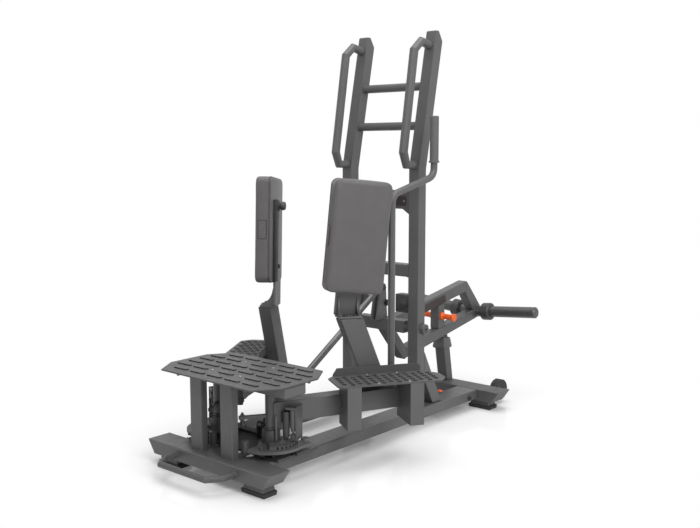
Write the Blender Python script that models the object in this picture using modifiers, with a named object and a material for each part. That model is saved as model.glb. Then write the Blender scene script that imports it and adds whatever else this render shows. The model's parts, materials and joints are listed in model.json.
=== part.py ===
"""Standing hip abductor machine, plate loaded, in metres with +Z up.

+Y points to the rear, where the loading horns are. +X is the right hand of
somebody who stands on the foot plates and faces the uprights. The origin is on
the floor, under the middle of the whole machine.
"""
import math

import bmesh
import bpy
from mathutils import Matrix, Vector

# fits and small clearances
SEAT_GAP = 0.0003
RUN_GAP = 0.0005
SLIP_GAP = 0.0020

# base frame: two crossbars and two rails of flat tube
BAR_W = 0.100
BAR_H = 0.050
BAR_HALF = 0.3150
REAR_HALF = 0.3245
BAR_CUT = 0.0350
BASE_LENGTH = 1.4670
FOOT_H = 0.0380
FOOT_X = 0.2180
FOOT_PAD_H = 0.0140
FOOT_PAD_X = 0.1100
FOOT_PAD_Y = 0.0620
FOOT_BLOCK_X = 0.0860
FOOT_BLOCK_Y = 0.0520
RAIL_W = 0.1000
RAIL_H = 0.0440
RAIL_OUTER = 0.2140
TUBE_EDGE = 0.0040

# bent lifting handle at the front
LIFT_R = 0.0110
LIFT_HALF = 0.1520
LIFT_SIDE = 0.0490
LIFT_REACH = 0.0980
LIFT_NOSE = 0.1160
LIFT_Z = 0.0610

# front platform, its posts and its cross channel
DECK_TOP = 0.3600
DECK_T = 0.0060
DECK_HALF = 0.2880
DECK_DEPTH = 0.3550
DECK_CUT_X = 0.0620
DECK_CUT_Y = 0.0920
POST_X = 0.0780
POST_W = 0.0600
POST_D = 0.0300
POST_Y = 0.0300
CHANNEL_Y = 0.1050
CHANNEL_W = 0.1000
CHANNEL_H = 0.0360

# lever pivots under the platform
PIVOT_X = 0.1350
PIVOT_Y = 0.1870
SHAFT_R = 0.0125
SEAT_PLATE_T = 0.0080
SEAT_PLATE_FRONT = 0.1200
SEAT_PLATE_REAR = 0.3200
SEAT_PLATE_HALF = 0.2340
SHOULDER_R = 0.0200

# draw yoke that both fans pull forward
YOKE_T = 0.0080
YOKE_BAR = 0.0280
YOKE_REAR = 0.2960
YOKE_ARM_W = 0.0320
YOKE_SLOT_X = 0.0050
EAR_T = 0.0070
EAR_W = 0.0300
ROD_EYE_W = 0.0180
ROD_EYE_R = 0.0165
ROD_PIN_R = 0.0070
ROD_R = 0.0130
ROD_FRONT_Y = 0.2750
ROD_FRONT_Z = 0.1370

# fan plates with the row of start position holes
FAN_T = 0.0100
FAN_R = 0.1180
FAN_LIFT = 0.0104
FAN_HUB_R = 0.0460
FAN_FROM = 75.0
FAN_TO = 180.0
BOSS_R = 0.0200
BOSS_RADIUS = 0.1200
BOSS_ANGLE = 53.0
SECTOR_R = 0.0960
SECTOR_FROM = 60.0
SECTOR_TO = 138.0
SECTOR_HUB_R = 0.0340
FAN_STUD_R = 0.0060
FAN_STUD_RADIUS = 0.1030
DRIVE_RANGE = 25.0
HOLE_RADIUS = 0.0810
HOLE_R = 0.0045
HOLE_STEP = 7.0
HOLE_COUNT = 8

# swinging levers
SPLAY = 32.7
HUB_R = 0.0200
HUB_TOP = 0.3080
HUB_FOOT_R = 0.0225
HUB_FOOT_TOP = 0.1750
BEAM_H = 0.0750
BEAM_OUT = 0.0250
BEAM_IN = 0.0390
BEAM_BOTTOM = 0.1940
BEAM_LEN = 0.5450
BEAM_TOE = 9.0
STEP_OUTER = 0.0740
STEP_INNER = 0.0885
STEP_TOP = 0.3180
STEP_T = 0.0050
STEP_FRONT = 0.2220
STEP_REAR = 0.6350
LIP_H = 0.0285
LIP_T = 0.0040
LIP_FRONT = 0.2460
LIP_REAR = 0.5830
LEG_W = 0.0510
LEG_FRONT = 0.2550
LEG_REAR = 0.4870
LEG_BOTTOM = 0.1600
MAST_W = 0.0848
MAST_T = 0.0500
MAST_LEAN = 21.4
MAST_TOP_Y = 0.3310
MAST_TOP_Z = 0.5240
MAST_BOTTOM_Z = 0.2030

# pad brackets and pads
SADDLE_X = -0.1145
SADDLE_Y = 0.3160
SADDLE_T = 0.0080
SADDLE_W = 0.0640
SADDLE_L = 0.0870
SADDLE_SHIFT = 0.0075
BLADE_T = 0.0090
BLADE_W = 0.0960
BLADE_TOP_W = 0.0500
BLADE_TILT = 5.5
BLADE_TOP_Z = 0.9400
GUSSET_T = 0.0060
GUSSET_H = 0.0620
GUSSET_AT = 0.0360
PAD_H = 0.4050
PAD_W = 0.2120
PAD_T = 0.0630
PAD_BOTTOM_Z = 0.6160
PAD_CORNER = 0.0280
KNOB_R = 0.0140
KNOB_L = 0.0260
KNOB_Z = 0.9150

# spring pin that locks a lever to its fan
PIN_ANGLE = 32.0
PIN_R = 0.0040
PIN_BARREL_R = 0.0080
PIN_TRAVEL = 0.0100
PIN_COLLAR_R = 0.0105
PIN_COLLAR_TOP = 0.1580
PIN_WALL_OUT = 0.0165
PIN_WALL_T = 0.0055
PIN_TOP_T = 0.0080
PIN_WALL_FRONT = 0.0115
PIN_WALL_REAR = 0.0505
PIN_TOP_IN = 0.0240
PIN_FOOT_IN = 0.0145
PIN_BOX_BOTTOM = 0.1370
PIN_FOOT_T = 0.0060
PIN_BOX_TOP = 0.2530

# assist handle on the right lever
ASSIST_R = 0.0110
ASSIST_Y = 0.4833
ASSIST_RISE = 0.9665
ASSIST_TOP = 1.2555
ASSIST_REACH = 0.2610
GRIP_R = 0.0170
GRIP_LEN = 0.1780
GRIP_COLLAR_R = 0.0205
GRIP_COLLAR_T = 0.0080

# uprights with rungs and grab handles
UPRIGHT_W = 0.0500
UPRIGHT_OUTER = 0.2000
UPRIGHT_Y = 0.9470
UPRIGHT_BEND_Z = 1.0600
UPRIGHT_LEAN = 11.4
UPRIGHT_TOP_Z = 1.6000
UPRIGHT_CUT = 0.0400
RUNG_R = 0.0152
RUNG_UPPER_Z = UPRIGHT_TOP_Z - 0.2170
RUNG_LOWER_Z = UPRIGHT_TOP_Z - 0.3740
GRAB_R = 0.0145
GRAB_TOP_Z = 1.5415
GRAB_BOTTOM_Z = 1.0720
GRAB_REACH = 0.0585
GRAB_FOOT_REACH = 0.0690
GRAB_DROP = 0.0440
BRACE_W = 0.0600
BRACE_FOOT = 0.0620
BRACE_SLOPE = 28.0
SIGN_BOTTOM = 0.8760
SIGN_H = 0.0950
SIGN_T = 0.0050
SIGN_CUT = 0.0320
SIGN_ARCH = 0.0200
CROSS_Z = 0.6230
CROSS_H = 0.0500

# weight arm on its shaft between the uprights
AXLE_Y = 0.9790
AXLE_Z = 0.4140
AXLE_R = 0.0125
AXLE_CAP_R = 0.0290
AXLE_CAP_T = 0.0110
ROCKER_W = 0.0500
CRANK_Y = 0.9550
CRANK_Z = 0.5680
CRANK_T = 0.0080
CRANK_FRONT = 0.9120
CRANK_REAR = 0.9820
ARM_W = 0.0450
UPPER_H = 0.0500
UPPER_RISE = 10.1
UPPER_AT_Y = 1.5000
UPPER_AT_Z = 0.4930
UPPER_REAR = 1.5670
TAIL_TOP_Y = 1.5785
TAIL_TOP_Z = 0.5215
TAIL_REAR = 1.6890
TAIL_REAR_Z = 0.3980
TAIL_REAR_LOW = 0.3525
TAIL_THROAT_Y = 1.5610
TAIL_THROAT_Z = 0.4745
LOWER_H = 0.0460
LOWER_RISE = 10.315
LOWER_AT_Y = 1.5000
LOWER_AT_Z = 0.3392
LOWER_FRONT_Y = 1.1120
LOWER_REAR = 1.6270
KNEE_Y = 0.9666
HEEL_Y = 1.0809
HEEL_Z = 0.2538
TOE_Y = 1.0975
TOE_Z = 0.2410
FRONT_STRUT_W = 0.0450
STRUT_W = 0.0470
STRUT_Y = 1.3690
HORN_Y = 1.6550
HORN_Z = 0.3767
HORN_R = 0.0245
HORN_LEN = 0.3147
HORN_TILT = 5.1
STOP_R = 0.0375
STOP_L = 0.0460
STOP_AT = 0.0355
PEG_R = 0.0125
PEG_FLANGE_R = 0.0175
PEG_LEN = 0.0700
PEG_Z = 0.3920

# rear post with its rubber buffer
REAR_POST_Y = 1.4097
REAR_POST_W = 0.0500
REAR_POST_D = 0.0440
REAR_POST_TOP = 0.2442
RIM_W = 0.0580
RIM_T = 0.0080
BUFFER_W = 0.0440
BUFFER_D = 0.0410
BUFFER_TOP_D = 0.0330

# transport wheels behind the rear crossbar
WHEEL_R = 0.0460
WHEEL_W = 0.0300
WHEEL_X = 0.2290
WHEEL_Y = BASE_LENGTH + 0.0500
WHEEL_Z = 0.0630
WHEEL_PIN_R = 0.0060
WHEEL_EAR_T = 0.0070

FLOOR_TOP = FOOT_H + BAR_H
DECK_BOTTOM = DECK_TOP - DECK_T
CHANNEL_BOTTOM = DECK_BOTTOM - SEAT_GAP - CHANNEL_H
SEAT_TOP = FLOOR_TOP + SEAT_GAP + SEAT_PLATE_T
YOKE_BOTTOM = SEAT_TOP + SEAT_GAP
YOKE_TOP = YOKE_BOTTOM + YOKE_T
FAN_BOTTOM = YOKE_TOP + FAN_LIFT
FAN_TOP = FAN_BOTTOM + 2.0 * FAN_T
HUB_BOTTOM = FAN_TOP + RUN_GAP
CENTRE_Y = (HORN_Y + STOP_R - LIFT_REACH - LIFT_R * math.cos(math.radians(27.0))) / 2.0
SIDES = (("left", -1.0), ("right", 1.0))

for stale in list(bpy.data.objects):
    bpy.data.objects.remove(stale, do_unlink=True)

PARTS = bpy.data.collections.new("standing_hip_abductor")
CUTTERS = bpy.data.collections.new("cutters")
bpy.context.scene.collection.children.link(PARTS)
bpy.context.scene.collection.children.link(CUTTERS)


def finish(name, colour, roughness, metallic):
    material = bpy.data.materials.new(name)
    material.use_nodes = True
    shader = material.node_tree.nodes["Principled BSDF"]
    shader.inputs["Base Color"].default_value = (*colour, 1.0)
    shader.inputs["Roughness"].default_value = roughness
    shader.inputs["Metallic"].default_value = metallic
    return material


STEEL = finish("coated_steel", (0.125, 0.125, 0.127), 0.48, 0.35)
BRIGHT = finish("plain_steel", (0.30, 0.30, 0.31), 0.30, 0.9)
RUBBER = finish("black_rubber", (0.022, 0.022, 0.023), 0.75, 0.0)
TREAD = finish("tread_plate", (0.160, 0.160, 0.162), 0.55, 0.3)
LEATHER = finish("pad_cover", (0.150, 0.142, 0.144), 0.55, 0.0)
ORANGE = finish("orange_plastic", (0.85, 0.14, 0.012), 0.42, 0.0)


def empty(name, parent=None, location=(0.0, 0.0, 0.0), rotation=(0.0, 0.0, 0.0)):
    guide = bpy.data.objects.new(name, None)
    CUTTERS.objects.link(guide)
    guide.hide_render = True
    guide.parent = parent
    guide.location = location
    guide.rotation_euler = rotation
    return guide


FRAME = empty("machine_frame", None, (0.0, -CENTRE_Y, 0.0))


def link(name, mesh, material, parent, location=(0.0, 0.0, 0.0), rotation=(0.0, 0.0, 0.0)):
    piece = bpy.data.objects.new(name, mesh)
    mesh.materials.clear()
    mesh.materials.append(material)
    PARTS.objects.link(piece)
    piece.parent = parent
    piece.location = location
    piece.rotation_euler = rotation
    return piece


def box_mesh(name, low, high):
    mesh = bpy.data.meshes.new(name)
    shape = bmesh.new()
    size = [high[i] - low[i] for i in range(3)]
    middle = [(high[i] + low[i]) / 2.0 for i in range(3)]
    bmesh.ops.create_cube(shape, size=1.0)
    bmesh.ops.scale(shape, vec=size, verts=shape.verts)
    bmesh.ops.translate(shape, vec=middle, verts=shape.verts)
    shape.to_mesh(mesh)
    shape.free()
    return mesh


def rod_mesh(name, radius, length, segments=32, middle=(0.0, 0.0, 0.0), axis="Z"):
    mesh = bpy.data.meshes.new(name)
    shape = bmesh.new()
    turn = {"X": Matrix.Rotation(math.pi / 2.0, 4, "Y"), "Z": Matrix.Identity(4)}[axis]
    bmesh.ops.create_cone(
        shape,
        cap_ends=True,
        segments=segments,
        radius1=radius,
        radius2=radius,
        depth=length,
        matrix=Matrix.Translation(middle) @ turn,
    )
    shape.to_mesh(mesh)
    shape.free()
    smooth(mesh)
    return mesh


def smooth(mesh, angle=35.0):
    mesh.shade_smooth()
    mesh.set_sharp_from_angle(angle=math.radians(angle))


def weld_curve(name, curve):
    """Turns a curve into one closed mesh."""
    holder = bpy.data.objects.new(name, curve)
    CUTTERS.objects.link(holder)
    bpy.context.view_layer.update()
    graph = bpy.context.evaluated_depsgraph_get()
    mesh = bpy.data.meshes.new_from_object(holder.evaluated_get(graph))
    bpy.data.objects.remove(holder, do_unlink=True)
    shape = bmesh.new()
    shape.from_mesh(mesh)
    bmesh.ops.remove_doubles(shape, verts=shape.verts, dist=0.00002)
    bmesh.ops.recalc_face_normals(shape, faces=shape.faces)
    shape.to_mesh(mesh)
    shape.free()
    mesh.name = name
    return mesh


def plate_mesh(name, outline, thickness, holes=()):
    """Flat outline in local XY, from local Z = 0 up to its thickness."""
    curve = bpy.data.curves.new(name, "CURVE")
    curve.dimensions = "2D"
    curve.fill_mode = "BOTH"
    curve.extrude = thickness / 2.0
    for ring in (outline, *holes):
        spline = curve.splines.new("POLY")
        spline.points.add(len(ring) - 1)
        for point, spot in zip(spline.points, ring):
            point.co = (spot[0], spot[1], 0.0, 1.0)
        spline.use_cyclic_u = True
    mesh = weld_curve(name, curve)
    mesh.transform(Matrix.Translation((0.0, 0.0, thickness / 2.0)))
    return mesh


def side_mesh(name, outline, thickness, middle_x=0.0):
    """Outline given as (y, z), with its thickness along X."""
    mesh = plate_mesh(name, outline, thickness)
    turn = Matrix.Rotation(math.pi / 2.0, 4, "Z") @ Matrix.Rotation(math.pi / 2.0, 4, "X")
    mesh.transform(Matrix.Translation((middle_x - thickness / 2.0, 0.0, 0.0)) @ turn)
    return mesh


def front_mesh(name, outline, thickness, front_y):
    """Outline given as (x, z), with its thickness running back from front_y."""
    mesh = plate_mesh(name, outline, thickness)
    turn = Matrix.Rotation(math.pi / 2.0, 4, "X")
    mesh.transform(Matrix.Translation((0.0, front_y + thickness, 0.0)) @ turn)
    return mesh


def pipe_mesh(name, points, radius, resolution=3):
    curve = bpy.data.curves.new(name, "CURVE")
    curve.dimensions = "3D"
    curve.bevel_depth = radius
    curve.bevel_resolution = resolution
    curve.use_fill_caps = True
    spline = curve.splines.new("POLY")
    spline.points.add(len(points) - 1)
    for point, spot in zip(spline.points, points):
        point.co = (*spot, 1.0)
    mesh = weld_curve(name, curve)
    smooth(mesh, 50.0)
    return mesh


def rounded_path(corners, radius, steps=5):
    """Straight runs joined by arcs at the inner corners."""
    spots = [Vector(corners[0])]
    for before, corner, after in zip(corners, corners[1:], corners[2:]):
        here = Vector(corner)
        inward = (here - Vector(before)).normalized()
        onward = (Vector(after) - here).normalized()
        half = inward.angle(onward) / 2.0
        setback = radius * math.tan(half)
        start = here - inward * setback
        end = here + onward * setback
        toward = (onward - inward).normalized()
        centre = here + toward * (radius / math.cos(half))
        axis = inward.cross(onward).normalized()
        for step in range(steps + 1):
            turn = Matrix.Rotation(2.0 * half * step / steps, 3, axis)
            spots.append(centre + turn @ (start - centre))
        spots[-1] = end
    spots.append(Vector(corners[-1]))
    return spots


def turned(
    name,
    profile,
    material,
    parent,
    location=(0.0, 0.0, 0.0),
    rotation=(0.0, 0.0, 0.0),
    steps=32,
    closed=False,
):
    """Profile of (radius, height) points, outer side from top to bottom."""
    mesh = bpy.data.meshes.new(name)
    shape = bmesh.new()
    spots = [shape.verts.new((radius, 0.0, height)) for radius, height in profile]
    for first, second in zip(spots, spots[1:]):
        shape.edges.new((first, second))
    if closed:
        shape.edges.new((spots[-1], spots[0]))
    shape.to_mesh(mesh)
    shape.free()
    piece = link(name, mesh, material, parent, location, rotation)
    screw = piece.modifiers.new("turn", "SCREW")
    screw.steps = steps
    screw.render_steps = steps
    screw.use_merge_vertices = True
    screw.merge_threshold = 0.00005
    screw.use_smooth_shade = False
    return piece


def soften(piece, width, segments=2, angle=40.0):
    bevel = piece.modifiers.new("edges", "BEVEL")
    bevel.width = width
    bevel.segments = segments
    bevel.limit_method = "ANGLE"
    bevel.angle_limit = math.radians(angle)
    bevel.harden_normals = False
    return piece


def combine(piece, meshes, operation, parent=None, location=(0.0, 0.0, 0.0), rotation=(0.0, 0.0, 0.0)):
    """Joins or cuts helper meshes, which lie in the piece's own frame by default."""
    for number, mesh in enumerate(meshes):
        stage = f"{operation.lower()}_{len(piece.modifiers)}_{number}"
        helper = bpy.data.objects.new(f"{piece.name}_{stage}", mesh)
        CUTTERS.objects.link(helper)
        helper.parent = parent or piece
        helper.location = location
        helper.rotation_euler = rotation
        helper.hide_render = True
        helper.display_type = "WIRE"
        cut = piece.modifiers.new(f"{operation.lower()}_{number}", "BOOLEAN")
        cut.operation = operation
        cut.solver = "EXACT"
        cut.object = helper
    return piece


def circle(radius, middle=(0.0, 0.0), count=24, start=0.0):
    return [
        (
            middle[0] + radius * math.cos(start + 2.0 * math.pi * step / count),
            middle[1] + radius * math.sin(start + 2.0 * math.pi * step / count),
        )
        for step in range(count)
    ]


def build_base():
    for name, front in (("front_crossbar", 0.0), ("rear_crossbar", BASE_LENGTH - BAR_W)):
        half = BAR_HALF if front == 0.0 else REAR_HALF
        inner = half - BAR_CUT
        outline = [(-half, FLOOR_TOP), (-inner, FOOT_H), (inner, FOOT_H), (half, FLOOR_TOP)]
        bar = link(name, front_mesh(name, outline, BAR_W, front), STEEL, FRAME)
        soften(bar, TUBE_EDGE)
        if front > 0.0:
            add_wheel_ears(bar)
        for side, sign in SIDES:
            place = "front" if front == 0.0 else "rear"
            build_foot(f"foot_{place}_{side}", sign * FOOT_X, front + BAR_W / 2.0 - 0.003)
    for side, sign in SIDES:
        edges = sorted((sign * RAIL_OUTER, sign * (RAIL_OUTER - RAIL_W)))
        low = (edges[0], BAR_W + SEAT_GAP, FLOOR_TOP - RAIL_H)
        high = (edges[1], BASE_LENGTH - BAR_W - SEAT_GAP, FLOOR_TOP)
        soften(link(f"rail_{side}", box_mesh("rail", low, high), STEEL, FRAME), TUBE_EDGE)
    corners = [
        (-LIFT_HALF, -SEAT_GAP, LIFT_Z),
        (-LIFT_HALF, -LIFT_SIDE, LIFT_Z),
        (-LIFT_NOSE, -LIFT_REACH, LIFT_Z),
        (LIFT_NOSE, -LIFT_REACH, LIFT_Z),
        (LIFT_HALF, -LIFT_SIDE, LIFT_Z),
        (LIFT_HALF, -SEAT_GAP, LIFT_Z),
    ]
    link("lift_handle", pipe_mesh("lift_handle", corners, LIFT_R), STEEL, FRAME)


def build_foot(name, x, y):
    """Tapered block on a wider rubber pad, lofted through four sections."""
    top = FOOT_H - SEAT_GAP
    sections = (
        (0.0, FOOT_PAD_X - 0.004, FOOT_PAD_Y - 0.004),
        (FOOT_PAD_H, FOOT_PAD_X, FOOT_PAD_Y),
        (FOOT_PAD_H + 0.003, FOOT_BLOCK_X + 0.006, FOOT_BLOCK_Y + 0.004),
        (top, FOOT_BLOCK_X, FOOT_BLOCK_Y),
    )
    mesh = bpy.data.meshes.new(name)
    shape = bmesh.new()
    bmesh.ops.create_cube(shape, size=1.0)
    floor = [vert for vert in shape.verts if vert.co.z < 0.0]
    roof = [vert for vert in shape.verts if vert.co.z > 0.0]
    fit_section(floor, sections[0])
    fit_section(roof, sections[1])
    face = max(shape.faces, key=lambda each: each.calc_center_median().z)
    for section in sections[2:]:
        grown = bmesh.ops.extrude_face_region(shape, geom=[face])["geom"]
        bmesh.ops.delete(shape, geom=[face], context="FACES_ONLY")
        face = next(item for item in grown if isinstance(item, bmesh.types.BMFace))
        fit_section(face.verts, section)
    shape.to_mesh(mesh)
    shape.free()
    link(name, mesh, RUBBER, FRAME, (x, y, 0.0))


def fit_section(verts, section):
    height, width, depth = section
    for vert in verts:
        vert.co.x = math.copysign(width / 2.0, vert.co.x)
        vert.co.y = math.copysign(depth / 2.0, vert.co.y)
        vert.co.z = height


def add_wheel_ears(bar):
    """Ear, axle pin and pin head of each transport wheel, welded to the crossbar."""
    inner = WHEEL_X - WHEEL_W / 2.0 - RUN_GAP
    outer = WHEEL_X + WHEEL_W / 2.0 + RUN_GAP
    rear = WHEEL_Y + 0.018
    for side, sign in SIDES:
        outline = [
            (BASE_LENGTH - 0.004, FOOT_H + 0.006),
            (WHEEL_Y - 0.008, WHEEL_Z - 0.017),
            (rear - 0.005, WHEEL_Z - 0.017),
            (rear, WHEEL_Z - 0.008),
            (rear, WHEEL_Z + 0.010),
            (rear - 0.008, WHEEL_Z + 0.018),
            (BASE_LENGTH - 0.004, WHEEL_Z + 0.018),
        ]
        ear = side_mesh("wheel_ear", outline, WHEEL_EAR_T, sign * (inner - WHEEL_EAR_T / 2.0))
        length = outer + 0.006 - (inner - WHEEL_EAR_T / 2.0)
        middle = sign * (inner - WHEEL_EAR_T / 2.0 + length / 2.0)
        pin = rod_mesh("wheel_pin", WHEEL_PIN_R, length, 24, (middle, WHEEL_Y, WHEEL_Z), "X")
        head = rod_mesh("wheel_head", 0.0110, 0.005, 24, (sign * (outer + 0.0025), WHEEL_Y, WHEEL_Z), "X")
        combine(bar, (ear, pin, head), "UNION")


def build_wheels():
    half = WHEEL_W / 2.0
    bore = WHEEL_PIN_R + RUN_GAP
    rim = WHEEL_R - 0.004
    profile = [
        (bore, half),
        (0.0130, half),
        (0.0150, half - 0.005),
        (rim - 0.004, half - 0.005),
        (rim, half),
        (WHEEL_R, half - 0.005),
        (WHEEL_R, -half + 0.005),
        (rim, -half),
        (rim - 0.004, -half + 0.005),
        (0.0150, -half + 0.005),
        (0.0130, -half),
        (bore, -half),
    ]
    for side, sign in SIDES:
        spot = (sign * WHEEL_X, WHEEL_Y, WHEEL_Z)
        turn = (0.0, math.pi / 2.0, 0.0)
        shade_turned(turned(f"wheel_{side}", profile, RUBBER, FRAME, spot, turn, 32, True))


def shade_turned(piece):
    """Rounds the look of a turned piece."""
    piece.modifiers["turn"].use_smooth_shade = True
    return piece


def build_deck():
    half, cut_x, cut_y = DECK_HALF, DECK_CUT_X, DECK_CUT_Y
    outline = []
    for x_sign, y_value, cut_sign in ((-1, 0.0, 1), (1, 0.0, 1), (1, DECK_DEPTH, -1), (-1, DECK_DEPTH, -1)):
        along = (x_sign * (half - cut_x), y_value)
        aside = (x_sign * half, y_value + cut_sign * cut_y)
        ahead = x_sign * cut_sign < 0
        outline += [aside, along] if ahead else [along, aside]
    plate = plate_mesh("platform_plate", outline, DECK_T)
    deck = link("platform_plate", plate, TREAD, FRAME, (0.0, 0.0, DECK_BOTTOM))
    soften(deck, 0.0012, 1)
    low = (-DECK_HALF + 0.002, CHANNEL_Y, CHANNEL_BOTTOM)
    high = (DECK_HALF - 0.002, CHANNEL_Y + CHANNEL_W, DECK_BOTTOM - SEAT_GAP)
    soften(link("platform_channel", box_mesh("platform_channel", low, high), STEEL, FRAME), 0.003)
    for side, sign in SIDES:
        middle = sign * POST_X
        low = (middle - POST_W / 2.0, POST_Y, FLOOR_TOP + SEAT_GAP)
        high = (middle + POST_W / 2.0, POST_Y + POST_D, DECK_BOTTOM - SEAT_GAP)
        soften(link(f"front_post_{side}", box_mesh("front_post", low, high), STEEL, FRAME), 0.003)


def build_pivot_base():
    """Plate across the rails with the two standing pivot shafts."""
    low = (-SEAT_PLATE_HALF, SEAT_PLATE_FRONT, FLOOR_TOP + SEAT_GAP)
    high = (SEAT_PLATE_HALF, SEAT_PLATE_REAR, SEAT_TOP)
    base = link("pivot_base", box_mesh("pivot_base", low, high), STEEL, FRAME)
    for side, sign in SIDES:
        foot = SEAT_TOP - 0.004
        shoulder_top = FAN_BOTTOM - RUN_GAP
        shaft_top = CHANNEL_BOTTOM - SEAT_GAP
        spot = (sign * PIVOT_X, PIVOT_Y, (foot + shoulder_top) / 2.0)
        shoulder = rod_mesh("shoulder", SHOULDER_R, shoulder_top - foot, 32, spot)
        spot = (sign * PIVOT_X, PIVOT_Y, (foot + shaft_top) / 2.0)
        shaft = rod_mesh("shaft", SHAFT_R, shaft_top - foot, 32, spot)
        combine(base, (shoulder, shaft), "UNION")


def build_yoke():
    """U-shaped plate: its rear bar carries the rod ears, its arms take the fan studs."""
    half = math.radians(DRIVE_RANGE / 2.0)
    stud_x = PIVOT_X + FAN_STUD_RADIUS * math.cos(half)
    stud_y = PIVOT_Y + FAN_STUD_RADIUS * math.sin(half)
    outer = stud_x + YOKE_ARM_W / 2.0
    inner = stud_x - YOKE_ARM_W / 2.0
    tip = stud_y - FAN_STUD_R - 0.0080
    bar = YOKE_REAR - YOKE_BAR
    right = [(inner, bar), (inner, tip), (outer, tip), (outer, YOKE_REAR - 0.015)]
    right.append((outer - 0.015, YOKE_REAR))
    left = [(-x, y) for x, y in reversed(right)]
    slot_w = FAN_STUD_R + RUN_GAP
    slots = []
    for sign in (-1.0, 1.0):
        slot = []
        for step in range(16):
            turn = 2.0 * math.pi * (step + 0.5) / 16.0
            reach = slot_w / math.cos(math.pi / 16.0)
            x = reach * math.cos(turn) + math.copysign(YOKE_SLOT_X, math.cos(turn))
            slot.append((sign * stud_x + x, stud_y + reach * math.sin(turn)))
        slots.append(slot)
    pivot = empty("yoke_frame", FRAME, (0.0, ROD_FRONT_Y, ROD_FRONT_Z))
    mesh = plate_mesh("draw_yoke", right + left, YOKE_T, slots)
    mesh.transform(Matrix.Translation((0.0, -ROD_FRONT_Y, YOKE_BOTTOM - ROD_FRONT_Z)))
    yoke = link("draw_yoke", mesh, STEEL, pivot)
    floor = YOKE_TOP - 0.003 - ROD_FRONT_Z
    ears = []
    for sign in (-1.0, 1.0):
        outline = [(-EAR_W / 2.0, floor), (EAR_W / 2.0, floor), (EAR_W / 2.0, 0.0)]
        outline += [
            (EAR_W / 2.0 * math.cos(math.pi * step / 8.0), EAR_W / 2.0 * math.sin(math.pi * step / 8.0))
            for step in range(1, 9)
        ]
        ears.append(side_mesh("ear", outline, EAR_T, sign * (ROD_EYE_W / 2.0 + RUN_GAP + EAR_T / 2.0)))
    length = ROD_EYE_W + 2.0 * (RUN_GAP + EAR_T) + 0.010
    ears.append(rod_mesh("ear_pin", ROD_PIN_R, length, 24, (0.0, 0.0, 0.0), "X"))
    combine(yoke, ears, "UNION")


def polar(sign, radius, angle):
    """Point at an angle in degrees from the rear, turning outward."""
    turn = math.radians(angle)
    return sign * radius * math.sin(turn), radius * math.cos(turn)


def fan_outline(sign):
    """Rim, front end, hub side and rear boss of the fan."""
    ring = [polar(sign, FAN_R, angle) for angle in range(int(FAN_FROM), int(FAN_TO) + 1, 7)]
    ring += [polar(sign, 0.6 * FAN_R, FAN_TO)]
    ring += [polar(sign, FAN_HUB_R, angle) for angle in range(205, 386, 12)]
    middle = polar(sign, BOSS_RADIUS, BOSS_ANGLE)
    for turn in range(-110, 61, 17):
        spot = polar(sign, BOSS_R, BOSS_ANGLE + turn)
        ring.append((middle[0] + spot[0], middle[1] + spot[1]))
    return ring


def sector_outline(sign):
    """Upper plate around the row of pin holes."""
    ring = [polar(sign, SECTOR_R, angle) for angle in range(int(SECTOR_FROM), int(SECTOR_TO) + 1, 6)]
    ring += [polar(sign, 0.040, 150.0)]
    ring += [polar(sign, SECTOR_HUB_R, angle) for angle in range(165, 391, 15)]
    return ring


def build_fans():
    """Each fan turns on its shaft, and its stud drives the yoke's slot."""
    for side, sign in SIDES:
        pin_from = SPLAY + PIN_ANGLE
        holes = [circle(SHAFT_R + RUN_GAP, (0.0, 0.0), 32)]
        for number in range(HOLE_COUNT):
            spot = polar(sign, HOLE_RADIUS, pin_from + HOLE_STEP * number)
            holes.append(circle(HOLE_R, spot, 12))
        pivot = empty(f"fan_frame_{side}", FRAME, (sign * PIVOT_X, PIVOT_Y, FAN_BOTTOM))
        fan = link(f"fan_{side}", plate_mesh("fan", fan_outline(sign), FAN_T, holes), STEEL, pivot)
        sector = plate_mesh("sector", sector_outline(sign), FAN_T + 0.002, holes)
        sector.transform(Matrix.Translation((0.0, 0.0, FAN_T - 0.002)))
        drop = FAN_BOTTOM - YOKE_BOTTOM - 0.001
        across, along = polar(sign, FAN_STUD_RADIUS, 90.0 - DRIVE_RANGE / 2.0)
        stud = rod_mesh("stud", FAN_STUD_R, drop + 0.003, 16, (across, along, (0.003 - drop) / 2.0))
        combine(fan, (sector, stud), "UNION")


def beam_outer(y):
    """Outer face of the beam in the lever's frame, at a distance y from the pivot."""
    toe = math.radians(BEAM_TOE)
    return BEAM_OUT / math.cos(toe) - y * math.tan(toe)


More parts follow.
